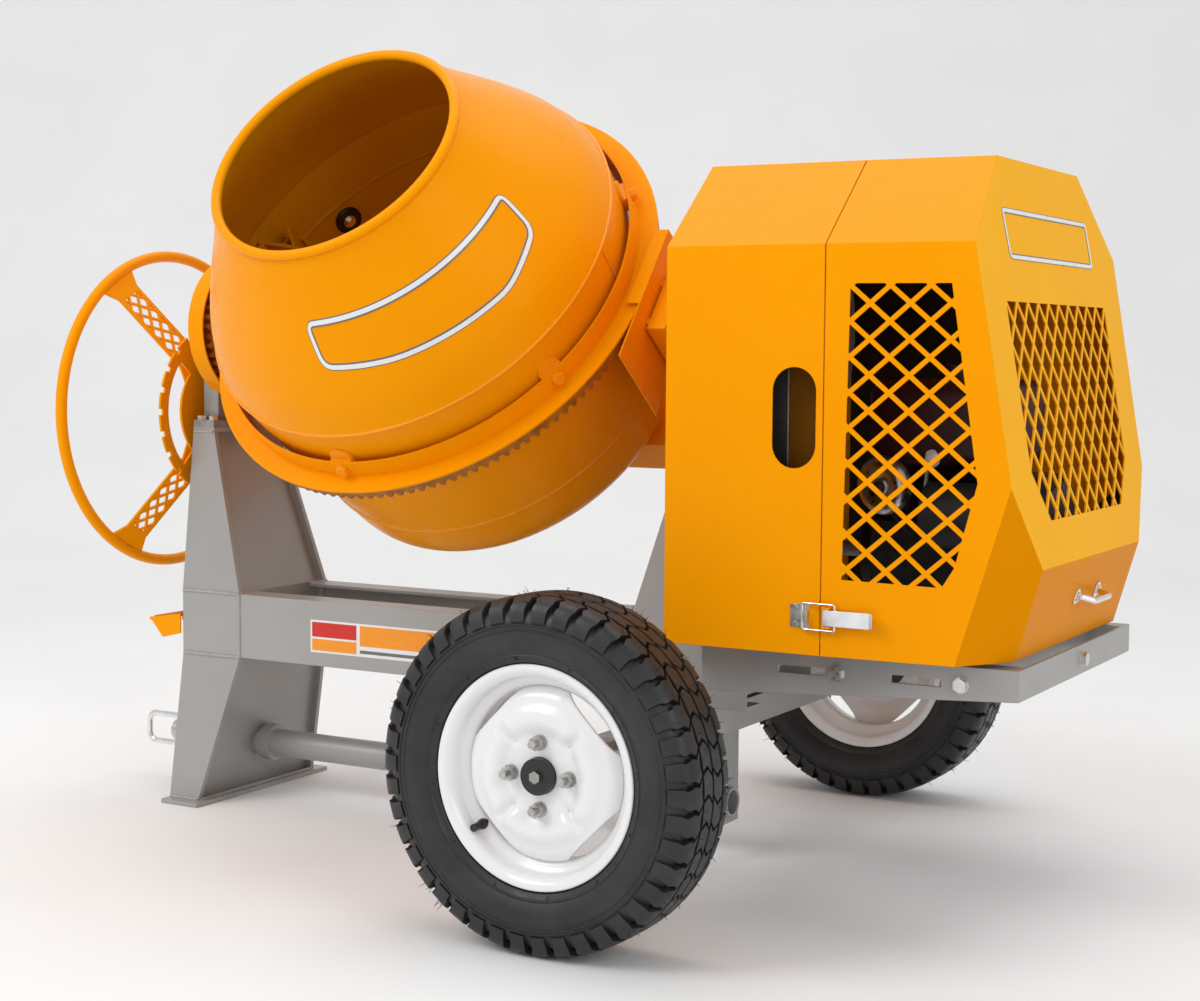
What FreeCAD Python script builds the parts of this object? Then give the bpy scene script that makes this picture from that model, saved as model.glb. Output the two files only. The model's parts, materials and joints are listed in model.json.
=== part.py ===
"""Towable tilting-drum concrete mixer, written as one STEP file per sub-part.

Frame: millimetres. +Z is up and z = 0 is the ground. +X runs along the machine towards the
engine end. -Y is the discharge side. The origin is under the middle of the overall box.
"""
import math
import os

import FreeCAD
import Part
from FreeCAD import Placement, Rotation, Vector

# ---- driving dimensions ------------------------------------------------------------------
AXLE_X = 365.65             # wheel axle line along the machine
TYRE_R = 268.0              # 145 R12 tyre, outside radius
WHEEL_Y = 626.0             # middle plane of each road wheel
RIM_FLANGE_R = 168.0        # 12 inch rim, flange radius
RIM_HALF_W = 54.0           # half the rim width over the flanges
BEAD_SEAT_R = 152.4
STUD_CIRCLE_R = 50.0        # four studs on a 100 mm circle
STUB_AXLE_R = 20.0
RUNNING = 0.05              # radial running clearance

PYLON_X = AXLE_X - 1150.0   # outer face of the left pylon
PYLON_FOOT_W = 72.0         # pylon depth along X at the foot, waist and top
PYLON_WAIST_W = 143.0
PYLON_TOP_W = 53.0
PYLON_FOOT_Y = 181.0        # pylon half width along Y at the foot, waist and top
PYLON_WAIST_Y = 138.0
PYLON_TOP_Y = 103.0
FOOT_T = 8.0
BEAM_Z0 = 290.0             # underside and top of the side beams
BEAM_Z1 = 414.0
PYLON_Z1 = 726.0            # top of the pylon plates
TOP_PLATE_T = 9.0
PYLON_WALL = 6.0
WEB_RECESS = 14.0           # how far the inner web sits behind the side plates
MACHINE_MID_X = AXLE_X - 575.5  # middle between the two pylons

DRUM_X = AXLE_X - 576.0     # drum centre plane
TRUNNION_Y = -25.0
TRUNNION_Z = 931.0
TRUNNION_R = 30.0
MOUTH_ANGLE = 38.0          # the mouth's rise above level, as drawn
SHELL_T = 4.0
MOUTH_W = 474.0             # stations along the drum axis from the trunnion line
CREASE_W = 200.0
RING_W = 105.0
LOWER_CREASE_W = -131.0
BOTTOM_RIM_W = -222.0
BOTTOM_W = -250.0
MOUTH_R = 230.0
CREASE_R = 395.0
BAND_R = 390.0
LOWER_CREASE_R = 367.0
BOTTOM_RIM_R = 352.0
BEAD_R = 9.0
RING_FLANGE_R = 444.0

RING_TEETH = 134
PINION_TEETH = 24
BEVEL_MODULE = 6.5
BEVEL_FACE_RATIO = 0.92     # inner end of the teeth as a share of the cone distance
TILT_TEETH = 40
TILT_PINION_TEETH = 16
TILT_MODULE = 6.0
PRESSURE = math.radians(20.0)
ADDENDUM = 0.8              # shares of the module
DEDENDUM = 1.15
FLANK_GAP = 0.15            # each flank is set back by this much

YOKE_IN = 455.0             # inner and outer faces of the yoke arms from the drum axis
YOKE_OUT = 490.0
YOKE_HALF_Y = 60.0
YOKE_WALL = 5.0
BLOCK_IN = 531.0            # bearing blocks, from the drum centre plane
BLOCK_OUT = 567.0
GEAR_IN = 496.0             # tilt gear faces, from the drum centre plane
GEAR_OUT = 516.0
COUNTERSHAFT_R = 17.5
HANDWHEEL_SHAFT_R = 14.0

HANDWHEEL_RIM_X = AXLE_X - 1299.0
HANDWHEEL_HUB_X = AXLE_X - 1178.0
HANDWHEEL_R = 311.0         # centre line of the rim tube
HANDWHEEL_TUBE_R = 11.0
INDEX_R = 171.0

FRAME_Y = 302.0             # engine frame half width
FRAME_X0 = AXLE_X + 83.0
FRAME_X1 = AXLE_X + 606.0
FRAME_Z1 = 426.0
CASE_X0 = AXLE_X + 50.0     # casing
SEAM_X = AXLE_X + 317.0
CASE_Z0 = 434.0
CASE_Z1 = 1054.0
CASE_Z2 = 1190.0
CASE_Y = 371.0
CASE_TOP_Y = 216.0
SHEET = 2.0
CRANK_Y = 10.0
CRANK_Z = 560.0
CRANK_R = 12.5
DRIVEN_R = 224.0
DRIVE_R = 56.0
BELT_X = (AXLE_X + 100.0, AXLE_X + 118.0)
BELT_W = 12.0

TOW_Z = 98.0
TOW_TUBE_R = 27.0
TOW_BAR_R = 21.0

HANDWHEEL_Y = 0.0
TILT_CENTRES = TILT_MODULE * (TILT_TEETH + TILT_PINION_TEETH) / 2
HANDWHEEL_Z = TRUNNION_Z - math.sqrt(TILT_CENTRES ** 2 - (TRUNNION_Y - HANDWHEEL_Y) ** 2)

LOCK_X = HANDWHEEL_HUB_X
LOCK_Y = -70.0
LOCK_ROD_R = 5.0
LOCK_GAP = 4.0              # rod tip to the index ring with the pedal up
HANDWHEEL_BOSS_X = PYLON_X - 1
RING_PITCH_R = BEVEL_MODULE * RING_TEETH / 2
PINION_PITCH_R = BEVEL_MODULE * PINION_TEETH / 2

HINGE_Z = CASE_Z2 + 6.5
HOOD_X1 = AXLE_X + 545.0
HOOD_SLOPE = 11.0 / (HOOD_X1 - SEAM_X)
LATCH_PIVOT = (AXLE_X + 330.0, -CASE_Y - 6.0)   # (x, y) of the -Y side's pivots
BAIL_PIVOT = (AXLE_X + 344.0, -CASE_Y - 9.0)
LATCH_Z0 = 482.0
LATCH_Z1 = 506.0

X_AXIS = Vector(1, 0, 0)
Y_AXIS = Vector(0, 1, 0)
Z_AXIS = Vector(0, 0, 1)
ORIGIN = Vector(0, 0, 0)
DRUM_FRAME = Placement(Vector(DRUM_X, TRUNNION_Y, TRUNNION_Z), Rotation(X_AXIS, 90 - MOUTH_ANGLE))


# ---- helpers -----------------------------------------------------------------------------
def save(name, shape):
    """Write one node and say whether it is sound."""
    shape = shape.removeSplitter()
    shape.exportStep(f"parts/{name}.step")
    print(name, "solids", len(shape.Solids), "valid", shape.isValid(), "cm3", round(shape.Volume / 1000, 1))


def box(x0, x1, y0, y1, z0, z1):
    """Box between two corners."""
    return Part.makeBox(x1 - x0, y1 - y0, z1 - z0, Vector(x0, y0, z0))


def cyl(x, y, z, axis, radius, length):
    """Cylinder from a point along an axis."""
    return Part.makeCylinder(radius, length, Vector(x, y, z), axis)


def fuse(shapes):
    """One solid from touching or overlapping shapes."""
    return shapes[0].multiFuse(shapes[1:]).removeSplitter()


def polygon(points):
    """Closed face through coplanar points."""
    corners = [Vector(*p) for p in points]
    return Part.Face(Part.makePolygon(corners + corners[:1]))


def prism(points, along):
    """Polygon pushed along a vector."""
    return polygon(points).extrude(Vector(*along))


def loft_boxes(sections):
    """Ruled solid through level rectangles given as (x0, x1, half_y, z)."""
    wires = []
    for x0, x1, half, z in sections:
        corners = [Vector(x0, -half, z), Vector(x1, -half, z), Vector(x1, half, z), Vector(x0, half, z)]
        wires.append(Part.makePolygon(corners + corners[:1]))
    spans = []
    for lower, upper in zip(wires[:-1], wires[1:]):
        spans.append(Part.makeLoft([lower, upper], True, True))
    return fuse(spans) if len(spans) > 1 else spans[0]


def turned(points, axis=Z_AXIS):
    """Solid of revolution from (radius, station) points about Z or Y."""
    if axis == Z_AXIS:
        face = polygon([(r, 0, w) for r, w in points])
    else:
        face = polygon([(r, w, 0) for r, w in points])
    return face.revolve(ORIGIN, axis, 360)


def bent_rod(points, radius, bend):
    """Round rod along a polyline with its corners rounded."""
    pts = [Vector(*p) for p in points]
    edges = []
    start = pts[0]
    for before, corner, after in zip(pts[:-2], pts[1:-1], pts[2:]):
        d_in = (corner - before).normalize()
        d_out = (after - corner).normalize()
        half = d_in.getAngle(d_out) / 2
        cut = bend * math.tan(half)
        p_in = corner - d_in * cut
        p_out = corner + d_out * cut
        inward = (d_out - d_in).normalize()
        centre = corner + inward * (bend / math.cos(half))
        edges.append(Part.makeLine(start, p_in))
        edges.append(Part.Arc(p_in, centre - inward * bend, p_out).toShape())
        start = p_out
    edges.append(Part.makeLine(start, pts[-1]))
    path = Part.Wire(edges)
    profile = Part.Wire(Part.makeCircle(radius, pts[0], pts[1] - pts[0]))
    return path.makePipeShell([profile], True, True)


def hexagon(x, y, z, axis, across_flats, length):
    """Hexagonal prism from a point along an axis."""
    radius = across_flats / math.sqrt(3)
    side = Vector(0, 0, 1) if abs(axis.z) < 0.9 else Vector(1, 0, 0)
    other = axis.cross(side)
    base = Vector(x, y, z)
    corners = []
    for i in range(6):
        a = math.radians(60 * i)
        corners.append(base + side * (radius * math.cos(a)) + other * (radius * math.sin(a)))
    return Part.Face(Part.makePolygon(corners + corners[:1])).extrude(axis * length)


def hex_bolt(x, y, z, axis, shank_r, length):
    """Bolt with its head and washer standing out along the axis and its shank behind."""
    back = axis * -1
    shank = cyl(x, y, z, back, shank_r, length)
    washer = cyl(x, y, z, axis, shank_r * 2.1, 1.5)
    seat = Vector(x, y, z) + axis * 1.5
    head = hexagon(seat.x, seat.y, seat.z, axis, shank_r * 3.3, shank_r * 1.3)
    return fuse([shank, washer, head])


def in_drum_frame(shape):
    """Carry a shape drawn about the drum axis to its place on the machine."""
    moved = shape.copy()
    moved.Placement = DRUM_FRAME.multiply(moved.Placement)
    return moved


def mirror_y(shape):
    """Copy on the other side of the machine."""
    return shape.mirror(ORIGIN, Y_AXIS)


def mirror_pylon(shape):
    """Copy on the other pylon."""
    return shape.mirror(Vector(MACHINE_MID_X, 0, 0), X_AXIS)


def tooth_half_angle(radius, pitch_r, teeth):
    """Half the angle an involute tooth covers at a radius."""
    base_r = pitch_r * math.cos(PRESSURE)
    at_pitch = math.pi / (2 * teeth) - FLANK_GAP / pitch_r
    rise = math.tan(PRESSURE) - PRESSURE
    local = math.acos(min(1.0, base_r / max(radius, base_r)))
    return at_pitch + rise - (math.tan(local) - local)


def gear_points(teeth, module, start):
    """Outline of an involute gear as (u, v), with one tooth centred at the start angle."""
    pitch_r = module * teeth / 2
    root = pitch_r - DEDENDUM * module
    tip = pitch_r + ADDENDUM * module
    radii = [root + (tip - root) * i / 5 for i in range(6)]
    outline = []
    for i in range(teeth):
        middle = start + 2 * math.pi * i / teeth
        for r in radii:
            a = middle - tooth_half_angle(r, pitch_r, teeth)
            outline.append((r * math.cos(a), r * math.sin(a)))
        for r in reversed(radii):
            a = middle + tooth_half_angle(r, pitch_r, teeth)
            outline.append((r * math.cos(a), r * math.sin(a)))
    return outline


# ---- chassis -----------------------------------------------------------------------------
def pylon_sections(bottom):
    """Depth along X, half width along Y and height of a pylon's outline from a start height."""
    whole = [
        (PYLON_FOOT_W, PYLON_FOOT_Y, FOOT_T),
        (PYLON_WAIST_W, PYLON_WAIST_Y, BEAM_Z0),
        (PYLON_WAIST_W, PYLON_WAIST_Y, BEAM_Z1),
        (PYLON_TOP_W, PYLON_TOP_Y, PYLON_Z1),
    ]
    return [row for row in whole if row[2] >= bottom]


def pylon_solid(bottom, outer_gap, inner_gap, side_gap):
    """Left pylon outline with its outer face, inner face and sides moved in."""
    rows = []
    for depth, half, z in pylon_sections(bottom):
        rows.append((PYLON_X + outer_gap, PYLON_X + depth - inner_gap, half - side_gap, z))
    return loft_boxes(rows)


def pylon_shell(bottom):
    """Folded pylon: two side plates, an outer plate, a recessed inner web and a top plate."""
    skin = pylon_solid(bottom, 0, 0, 0)
    recess = pylon_solid(bottom, WEB_RECESS, 0, PYLON_WALL + 4)
    web = pylon_solid(bottom, 0, WEB_RECESS, 0)
    hollow = pylon_solid(bottom, PYLON_WALL, WEB_RECESS + PYLON_WALL, PYLON_WALL)
    open_side = recess.cut(web)
    reach = PYLON_X + PYLON_TOP_W
    cap = box(PYLON_X, reach, -PYLON_TOP_Y, PYLON_TOP_Y, PYLON_Z1, PYLON_Z1 + TOP_PLATE_T)
    return fuse([skin.cut(open_side).cut(hollow), cap])


def channel(y_web, inward, x0, x1, z0, z1, flange, wall):
    """C section along X with its web at y_web and its flanges pointing inward."""
    y_tip = y_web + inward * flange
    whole = box(x0, x1, min(y_web, y_tip), max(y_web, y_tip), z0, z1)
    y_in = y_web + inward * wall
    far = y_tip + inward
    return whole.cut(box(x0, x1, min(y_in, far), max(y_in, far), z0 + wall, z1 - wall))


def make_frame():
    """Side beams with their cross members, pylons, foot, axle and tow tube."""
    beam_x0 = PYLON_X + PYLON_WAIST_W
    beams = []
    for side in (-1, 1):
        beams.append(channel(side * PYLON_WAIST_Y, -side, beam_x0, FRAME_X0, BEAM_Z0, BEAM_Z1, 58, 6))
    inner = PYLON_WAIST_Y - 6
    for x in (beam_x0 + 180, MACHINE_MID_X + 150, AXLE_X - 150, AXLE_X - 20):
        beams.append(box(x, x + 50, -inner, inner, BEAM_Z0 + 6, BEAM_Z0 + 46))
    save("main_frame", fuse(beams))

    left = pylon_shell(FOOT_T)
    bore = cyl(PYLON_X - 1, 0, TOW_Z, X_AXIS, TOW_TUBE_R, PYLON_FOOT_W + 60)
    guides = []
    for z in (560.0, 590.0):
        guides.append(lock_guide(z))
    save("left_pylon", fuse([left.cut(bore)] + guides))
    save("right_pylon", mirror_pylon(pylon_shell(BEAM_Z1)))

    foot = box(PYLON_X, PYLON_X + 90, -206, 206, 0, FOOT_T)
    save("foot_plate", foot)

    beam = box(AXLE_X - 30, AXLE_X + 30, -470, 470, TYRE_R - 28, TYRE_R + 22)
    hollow = box(AXLE_X - 25, AXLE_X + 25, -471, 471, TYRE_R - 23, TYRE_R + 17)
    ends = []
    for side in (-1, 1):
        y = min(side * 470, side * 445)
        ends.append(box(AXLE_X - 25, AXLE_X + 25, y, y + 25, TYRE_R - 23, TYRE_R + 17))
    plug = fuse([beam.cut(hollow)] + ends)
    for side in (-1, 1):
        plug = plug.cut(cyl(AXLE_X, side * 430, TYRE_R, Y_AXIS * side, STUB_AXLE_R, 60))
    hanger = box(AXLE_X - 25, AXLE_X - 17, -45, 45, TOW_Z - 40, TYRE_R - 28)
    hanger = hanger.cut(cyl(AXLE_X - 40, 0, TOW_Z, X_AXIS, TOW_TUBE_R, 60))
    save("axle_beam", fuse([plug, hanger]))
    stubs = []
    for side in (-1, 1):
        shaft = cyl(AXLE_X, side * 430, TYRE_R, Y_AXIS * side, STUB_AXLE_R, WHEEL_Y - 430 + 12)
        collar = cyl(AXLE_X, side * 470, TYRE_R, Y_AXIS * side, STUB_AXLE_R + 9, 112)
        stubs.append(fuse([shaft, collar]))
    save("stub_axles", Part.Compound(stubs))

    x0 = PYLON_X
    sleeve = cyl(x0, 0, TOW_Z, X_AXIS, TOW_TUBE_R, AXLE_X - 5 - x0)
    sleeve = sleeve.cut(cyl(x0 - 1, 0, TOW_Z, X_AXIS, TOW_BAR_R + RUNNING, AXLE_X - x0))
    collar_x = PYLON_X + PYLON_FOOT_W + 26
    collar = cyl(collar_x, 0, TOW_Z, X_AXIS, TOW_TUBE_R + 9, 26)
    collar = collar.cut(cyl(collar_x - 1, 0, TOW_Z, X_AXIS, TOW_TUBE_R, 28))
    save("tow_tube", fuse([sleeve, collar]))


def lock_guide(z):
    """Small eye on the pylon's outer face that guides the lock rod."""
    eye = cyl(LOCK_X, LOCK_Y, z - 4, Z_AXIS, LOCK_ROD_R + 5, 8)
    arm = box(LOCK_X, PYLON_X + 3, LOCK_Y - 4, LOCK_Y + 4, z - 4, z + 4)
    return eye.fuse(arm).cut(cyl(LOCK_X, LOCK_Y, z - 5, Z_AXIS, LOCK_ROD_R + RUNNING, 10))


def make_engine_frame():
    """Tapered outrigger under the casing, the engine rails and their bolts."""
    t = 5.0
    root = 351.0
    tip = 379.0
    parts = []
    outline = [(FRAME_X0, root), (FRAME_X1, tip), (FRAME_X1, FRAME_Z1), (FRAME_X0, FRAME_Z1)]
    for side in (-1, 1):
        web = prism([(x, side * FRAME_Y, z) for x, z in outline], (0, -side * t, 0))
        parts.append(web)
        y0 = min(side * FRAME_Y, side * (FRAME_Y - 42))
        parts.append(box(FRAME_X0, FRAME_X1, y0, y0 + 42, FRAME_Z1 - t, FRAME_Z1))
    parts.append(box(FRAME_X1 - t, FRAME_X1, -FRAME_Y, FRAME_Y, tip, FRAME_Z1))
    parts.append(box(FRAME_X0, FRAME_X0 + t, -FRAME_Y, FRAME_Y, root, FRAME_Z1))
    parts.append(box(FRAME_X0, FRAME_X0 + 42, -FRAME_Y, FRAME_Y, FRAME_Z1 - t, FRAME_Z1))
    frame = fuse(parts)
    bolts = []
    for rail_x, slot_x0 in ((AXLE_X + 317, AXLE_X + 217), (AXLE_X + 517, AXLE_X + 405)):
        for side in (-1, 1):
            y = side * (FRAME_Y + 1)
            slot = box(slot_x0, slot_x0 + 80, min(y, y - side * 9), max(y, y - side * 9), 392, 404)
            frame = frame.cut(slot)
            frame = frame.cut(cyl(rail_x, y, 398, Y_AXIS * -side, 6, 9))
            bolts.append(hex_bolt(rail_x, side * FRAME_Y, 398, Y_AXIS * side, 6, 14))
    frame = frame.cut(cyl(FRAME_X1 - 9, 19, 403, X_AXIS, 6, 18))
    bolts.append(hex_bolt(FRAME_X1, 19, 403, X_AXIS, 6, 14))
    save("engine_frame", frame)
    save("frame_bolts", Part.Compound(bolts))

    rails = []
    y = FRAME_Y - t
    for rail_x in (AXLE_X + 317, AXLE_X + 517):
        bar = box(rail_x - 20, rail_x + 20, -y, y, 382, FRAME_Z1 - t)
        inner = box(rail_x - 16, rail_x + 16, -y + 4, y - 4, 381, FRAME_Z1 - t - 4)
        rail = bar.cut(inner)
        for side in (-1, 1):
            rail = rail.cut(cyl(rail_x, side * (y + 1), 398, Y_AXIS * -side, 6, 12))
        seat = box(rail_x - 20, rail_x + 20, -FRAME_Y + 43, FRAME_Y - 43, FRAME_Z1 - t - 4, FRAME_Z1)
        rails.append(fuse([rail, seat]))
    save("engine_rails", Part.Compound(rails))


def bearing_block():
    """Cast block on the left pylon with the trunnion bore above the handwheel bore."""
    x0 = DRUM_X - BLOCK_OUT
    t = BLOCK_OUT - BLOCK_IN
    base_z = PYLON_Z1 + TOP_PLATE_T
    base = box(PYLON_X + 1, PYLON_X + PYLON_TOP_W - 1, -PYLON_TOP_Y, PYLON_TOP_Y, base_z, base_z + 14)
    side = [(x0, -78, base_z), (x0, 70, base_z), (x0, 30, TRUNNION_Z + 10), (x0, -80, TRUNNION_Z + 10)]
    body = prism(side, (t, 0, 0))
    head = cyl(x0, TRUNNION_Y, TRUNNION_Z, X_AXIS, 56, t)
    block = fuse([base, body, head])
    block = block.cut(cyl(x0 - 9, TRUNNION_Y, TRUNNION_Z, X_AXIS, TRUNNION_R + RUNNING, t + 18))
    return block.cut(cyl(x0 - 9, HANDWHEEL_Y, HANDWHEEL_Z, X_AXIS, HANDWHEEL_SHAFT_R + RUNNING, t + 18))


def make_bearings():
    """Both bearing blocks, their bolts and the guard round the tilt gear."""
    block = bearing_block()
    bolts = []
    for dx in (-15, 15):
        for y in (-90, 88):
            x = PYLON_X + PYLON_TOP_W / 2 + dx
            z = PYLON_Z1 + TOP_PLATE_T + 14
            block = block.cut(cyl(x, y, z + 1, Z_AXIS * -1, 5, 16))
            bolts.append(hex_bolt(x, y, z, Z_AXIS, 5, 14))
    save("bearing_blocks", Part.Compound([block, mirror_pylon(block)]))
    save("bearing_bolts", Part.Compound(bolts + [mirror_pylon(b) for b in bolts]))

    x0 = DRUM_X - BLOCK_IN
    x1 = DRUM_X - GEAR_IN + 1
    outer = cyl(x0, TRUNNION_Y, TRUNNION_Z, X_AXIS, 140, x1 - x0)
    inner = cyl(x0 + 3, TRUNNION_Y, TRUNNION_Z, X_AXIS, 137, x1 - x0)
    hole = cyl(x0 - 1, TRUNNION_Y, TRUNNION_Z, X_AXIS, TRUNNION_R + 2, 9)
    guard = outer.cut(inner).cut(hole)
    notch = box(x0 - 1, x1 + 1, HANDWHEEL_Y - 60, HANDWHEEL_Y + 60, 700, HANDWHEEL_Z + 62)
    save("gear_guard", guard.cut(notch))


def loop_solid(x, length, grow):
    """Solid filling the belt's loop round both pulleys, grown outwards."""
    y1, z1, r1 = TRUNNION_Y, TRUNNION_Z, DRIVEN_R - 11 + grow
    y2, z2, r2 = CRANK_Y, CRANK_Z, DRIVE_R - 11 + grow
    span = math.hypot(y2 - y1, z2 - z1)
    heading = math.atan2(z2 - z1, y2 - y1)
    wrap = math.acos((r1 - r2) / span)
    left, right = heading + wrap, heading - wrap
    ends = []
    touches = [(y1, z1, r1, left), (y1, z1, r1, right), (y2, z2, r2, right), (y2, z2, r2, left)]
    for y, z, r, angle in touches:
        ends.append((x, y + r * math.cos(angle), z + r * math.sin(angle)))
    big = cyl(x, y1, z1, X_AXIS, r1, length)
    small = cyl(x, y2, z2, X_AXIS, r2, length)
    return fuse([big, small, prism(ends, (length, 0, 0))])


def case_outline(inset):
    """Casing cross-section corners as (y, z), moved in by an inset."""
    y, top_y = CASE_Y - inset, CASE_TOP_Y - inset * 0.8
    half = [(y, CASE_Z0), (y, CASE_Z1 - inset * 0.3), (top_y, CASE_Z2 - inset)]
    return [(-a, b) for a, b in half] + [(a, b) for a, b in reversed(half)]


def make_cover():
    """Fixed half of the casing with its hand hole, guard plate, latch strikes and hinge."""
    x1 = SEAM_X - 1
    outer = prism([(CASE_X0, y, z) for y, z in case_outline(0)], (x1 - CASE_X0, 0, 0))
    inner = prism([(CASE_X0 + SHEET, y, z) for y, z in case_outline(SHEET)], (x1 - CASE_X0, 0, 0))
    lip = prism([(x1 - SHEET, y, z) for y, z in case_outline(SHEET)], (SHEET, 0, 0))
    lip = lip.cut(prism([(x1 - SHEET - 1, y, z) for y, z in case_outline(18)], (SHEET + 2, 0, 0)))
    below = box(CASE_X0 + SHEET, x1 + 1, -CASE_Y + SHEET, CASE_Y - SHEET, CASE_Z0 - 1, CASE_Z0 + 20)
    cover = fuse([outer.cut(inner).cut(below), lip.cut(below)])
    hole_x = AXLE_X + 269
    slot = fuse([
        box(hole_x - 36, hole_x + 36, -CASE_Y - 1, -CASE_Y + SHEET + 1, 753, 834),
        cyl(hole_x, -CASE_Y - 1, 753, Y_AXIS, 36, SHEET + 2),
        cyl(hole_x, -CASE_Y - 1, 834, Y_AXIS, 36, SHEET + 2),
    ])
    cover = cover.cut(slot)
    cover = cover.cut(cyl(CASE_X0 - 1, TRUNNION_Y, TRUNNION_Z, X_AXIS, COUNTERSHAFT_R + 8, 9))
    feet = []
    for side in (-1, 1):
        y0 = min(side * (FRAME_Y - 40), side * (CASE_Y - 1))
        y1 = max(side * (FRAME_Y - 40), side * (CASE_Y - 1))
        feet.append(box(AXLE_X + 110, AXLE_X + 150, y0, y1, CASE_Z0, CASE_Z0 + 3))
        feet.append(box(AXLE_X + 250, AXLE_X + 290, y0, y1, CASE_Z0, CASE_Z0 + 3))
        py0 = min(side * (FRAME_Y - 30), side * (FRAME_Y - 6))
        feet.append(box(AXLE_X + 120, AXLE_X + 140, py0, py0 + 24, FRAME_Z1, CASE_Z0))
        feet.append(box(AXLE_X + 260, AXLE_X + 280, py0, py0 + 24, FRAME_Z1, CASE_Z0))
    plate = box(AXLE_X + 190, SEAM_X - 8, -CASE_Y + 42, -CASE_Y + 44, 660, 960)
    flange = box(AXLE_X + 190, AXLE_X + 192, -CASE_Y + SHEET, -CASE_Y + 44, 660, 960)
    save("belt_cover", fuse([cover, plate, flange] + feet))

    strikes = []
    for side in (-1, 1):
        y = side * CASE_Y
        base = box(AXLE_X + 269, AXLE_X + 299, min(y, y + side * 2), max(y, y + side * 2), 476, 512)
        hook = box(AXLE_X + 296, AXLE_X + 299, min(y, y + side * 9), max(y, y + side * 9), 485, 503)
        tip_y = sorted((y + side * 8, y + side * 10))
        tip = box(AXLE_X + 293, AXLE_X + 299, tip_y[0], tip_y[1], 485, 503)
        screws = []
        for z in (481.0, 507.0):
            screws.append(cyl(AXLE_X + 277, y + side * 2, z, Y_AXIS * side, 3.5, 2))
        strikes.append(fuse([base, hook, tip] + screws))
    save("latch_strikes", Part.Compound(strikes))

    leaf = box(SEAM_X - 34, SEAM_X - 6, -30, 30, CASE_Z2, CASE_Z2 + 2.5)
    knuckles = [leaf]
    for y in (-30.0, 12.0):
        knuckle = cyl(SEAM_X, y, HINGE_Z, Y_AXIS, 6, 18)
        tongue = box(SEAM_X - 8, SEAM_X, y, y + 18, CASE_Z2 + 0.5, CASE_Z2 + 2.5)
        knuckles.append(knuckle)
        knuckles.append(tongue)
    fixed = fuse(knuckles)
    pin = cyl(SEAM_X, -33, HINGE_Z, Y_AXIS, 2.5, 66)
    save("hood_hinge_fixed", fuse([fixed, pin]))

    leaf = box(SEAM_X + 6, SEAM_X + 34, -30, 30, CASE_Z2, CASE_Z2 + 2.5)
    knuckle = cyl(SEAM_X, -11.5, HINGE_Z, Y_AXIS, 6, 23)
    tongue = box(SEAM_X, SEAM_X + 8, -11.5, 11.5, CASE_Z2 + 0.5, CASE_Z2 + 2.5)
    moving = fuse([leaf, knuckle, tongue]).cut(cyl(SEAM_X, -12, HINGE_Z, Y_AXIS, 2.5 + RUNNING, 24))
    save("hood_hinge_moving", moving)


def hood_corners():
    """Outer corners of one side of the hood."""
    x0 = SEAM_X + 1

    def side_y(x):
        return -(CASE_Y - HOOD_SLOPE * (x - x0))

    low = (AXLE_X + 527, side_y(AXLE_X + 527), CASE_Z0)
    low_end = (AXLE_X + 587, -267.0, CASE_Z0)
    knee = (AXLE_X + 606, side_y(AXLE_X + 606), 698.0)
    bevel = (HOOD_X1, side_y(HOOD_X1), CASE_Z1)
    top = (AXLE_X + 522, -(CASE_TOP_Y - HOOD_SLOPE * (AXLE_X + 522 - x0)), CASE_Z2)
    a = Vector(*low)
    normal = (Vector(*knee) - a).cross(Vector(*low_end) - a)
    fold_z = 574.0
    fold_x = knee[0] + (knee[0] - bevel[0]) * (knee[2] - fold_z) / (bevel[2] - knee[2])
    fold_y = a.y - (normal.x * (fold_x - a.x) + normal.z * (fold_z - a.z)) / normal.y
    return {
        "seam_low": (x0, -CASE_Y, CASE_Z0), "seam_bevel": (x0, -CASE_Y, CASE_Z1),
        "seam_top": (x0, -CASE_TOP_Y, CASE_Z2), "low": low, "low_end": low_end, "knee": knee,
        "fold": (fold_x, fold_y, fold_z), "bevel": bevel, "top": top,
    }


def flip(point):
    """The same point on the other side of the machine."""
    return (point[0], -point[1], point[2])


def grille_holes(face, centre, u, v, pitch_u, pitch_v, strip, reach):
    """Diamond holes that leave a lattice of strips across an outline."""
    bars = []
    normal = Vector(*u).cross(Vector(*v))
    for sign in (-1, 1):
        run = (Vector(*u) * pitch_u + Vector(*v) * (sign * pitch_v)).normalize()
        across = run.cross(normal).normalize()
        gap = abs((Vector(*u) * (2 * pitch_u)).dot(across))
        count = int(reach / gap) + 1
        for i in range(-count, count + 1):
            mid = Vector(*centre) + across * (gap * (i + 0.5))
            a = mid - run * reach - across * (strip / 2)
            b = mid + run * reach - across * (strip / 2)
            c = mid + run * reach + across * (strip / 2)
            d = mid - run * reach + across * (strip / 2)
            bars.append(Part.Face(Part.makePolygon([a, b, c, d, a])))
    return face.cut(bars)


def moved_in(solid, gap):
    """The convex solid with every face moved in by the sheet, but open at the seam and floor."""
    size = 3000.0
    middle = solid.CenterOfMass
    inner = box(SEAM_X - 50, AXLE_X + 900, -CASE_Y - 50, CASE_Y + 50, CASE_Z0 - 50, CASE_Z2 + 50)
    for face in solid.Faces:
        centre = face.CenterOfMass
        out = face.normalAt(0, 0)
        if out.dot(centre - middle) < 0:
            out = out * -1
        is_open = out.x < -0.99 or out.z < -0.99
        depth = -10.0 if is_open else gap
        block = Part.makeBox(size, size, size, Vector(-size / 2, -size / 2, 0))
        block.Placement = Placement(centre - out * depth, Rotation(Z_AXIS, out))
        inner = inner.cut(block)
    return inner


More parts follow.
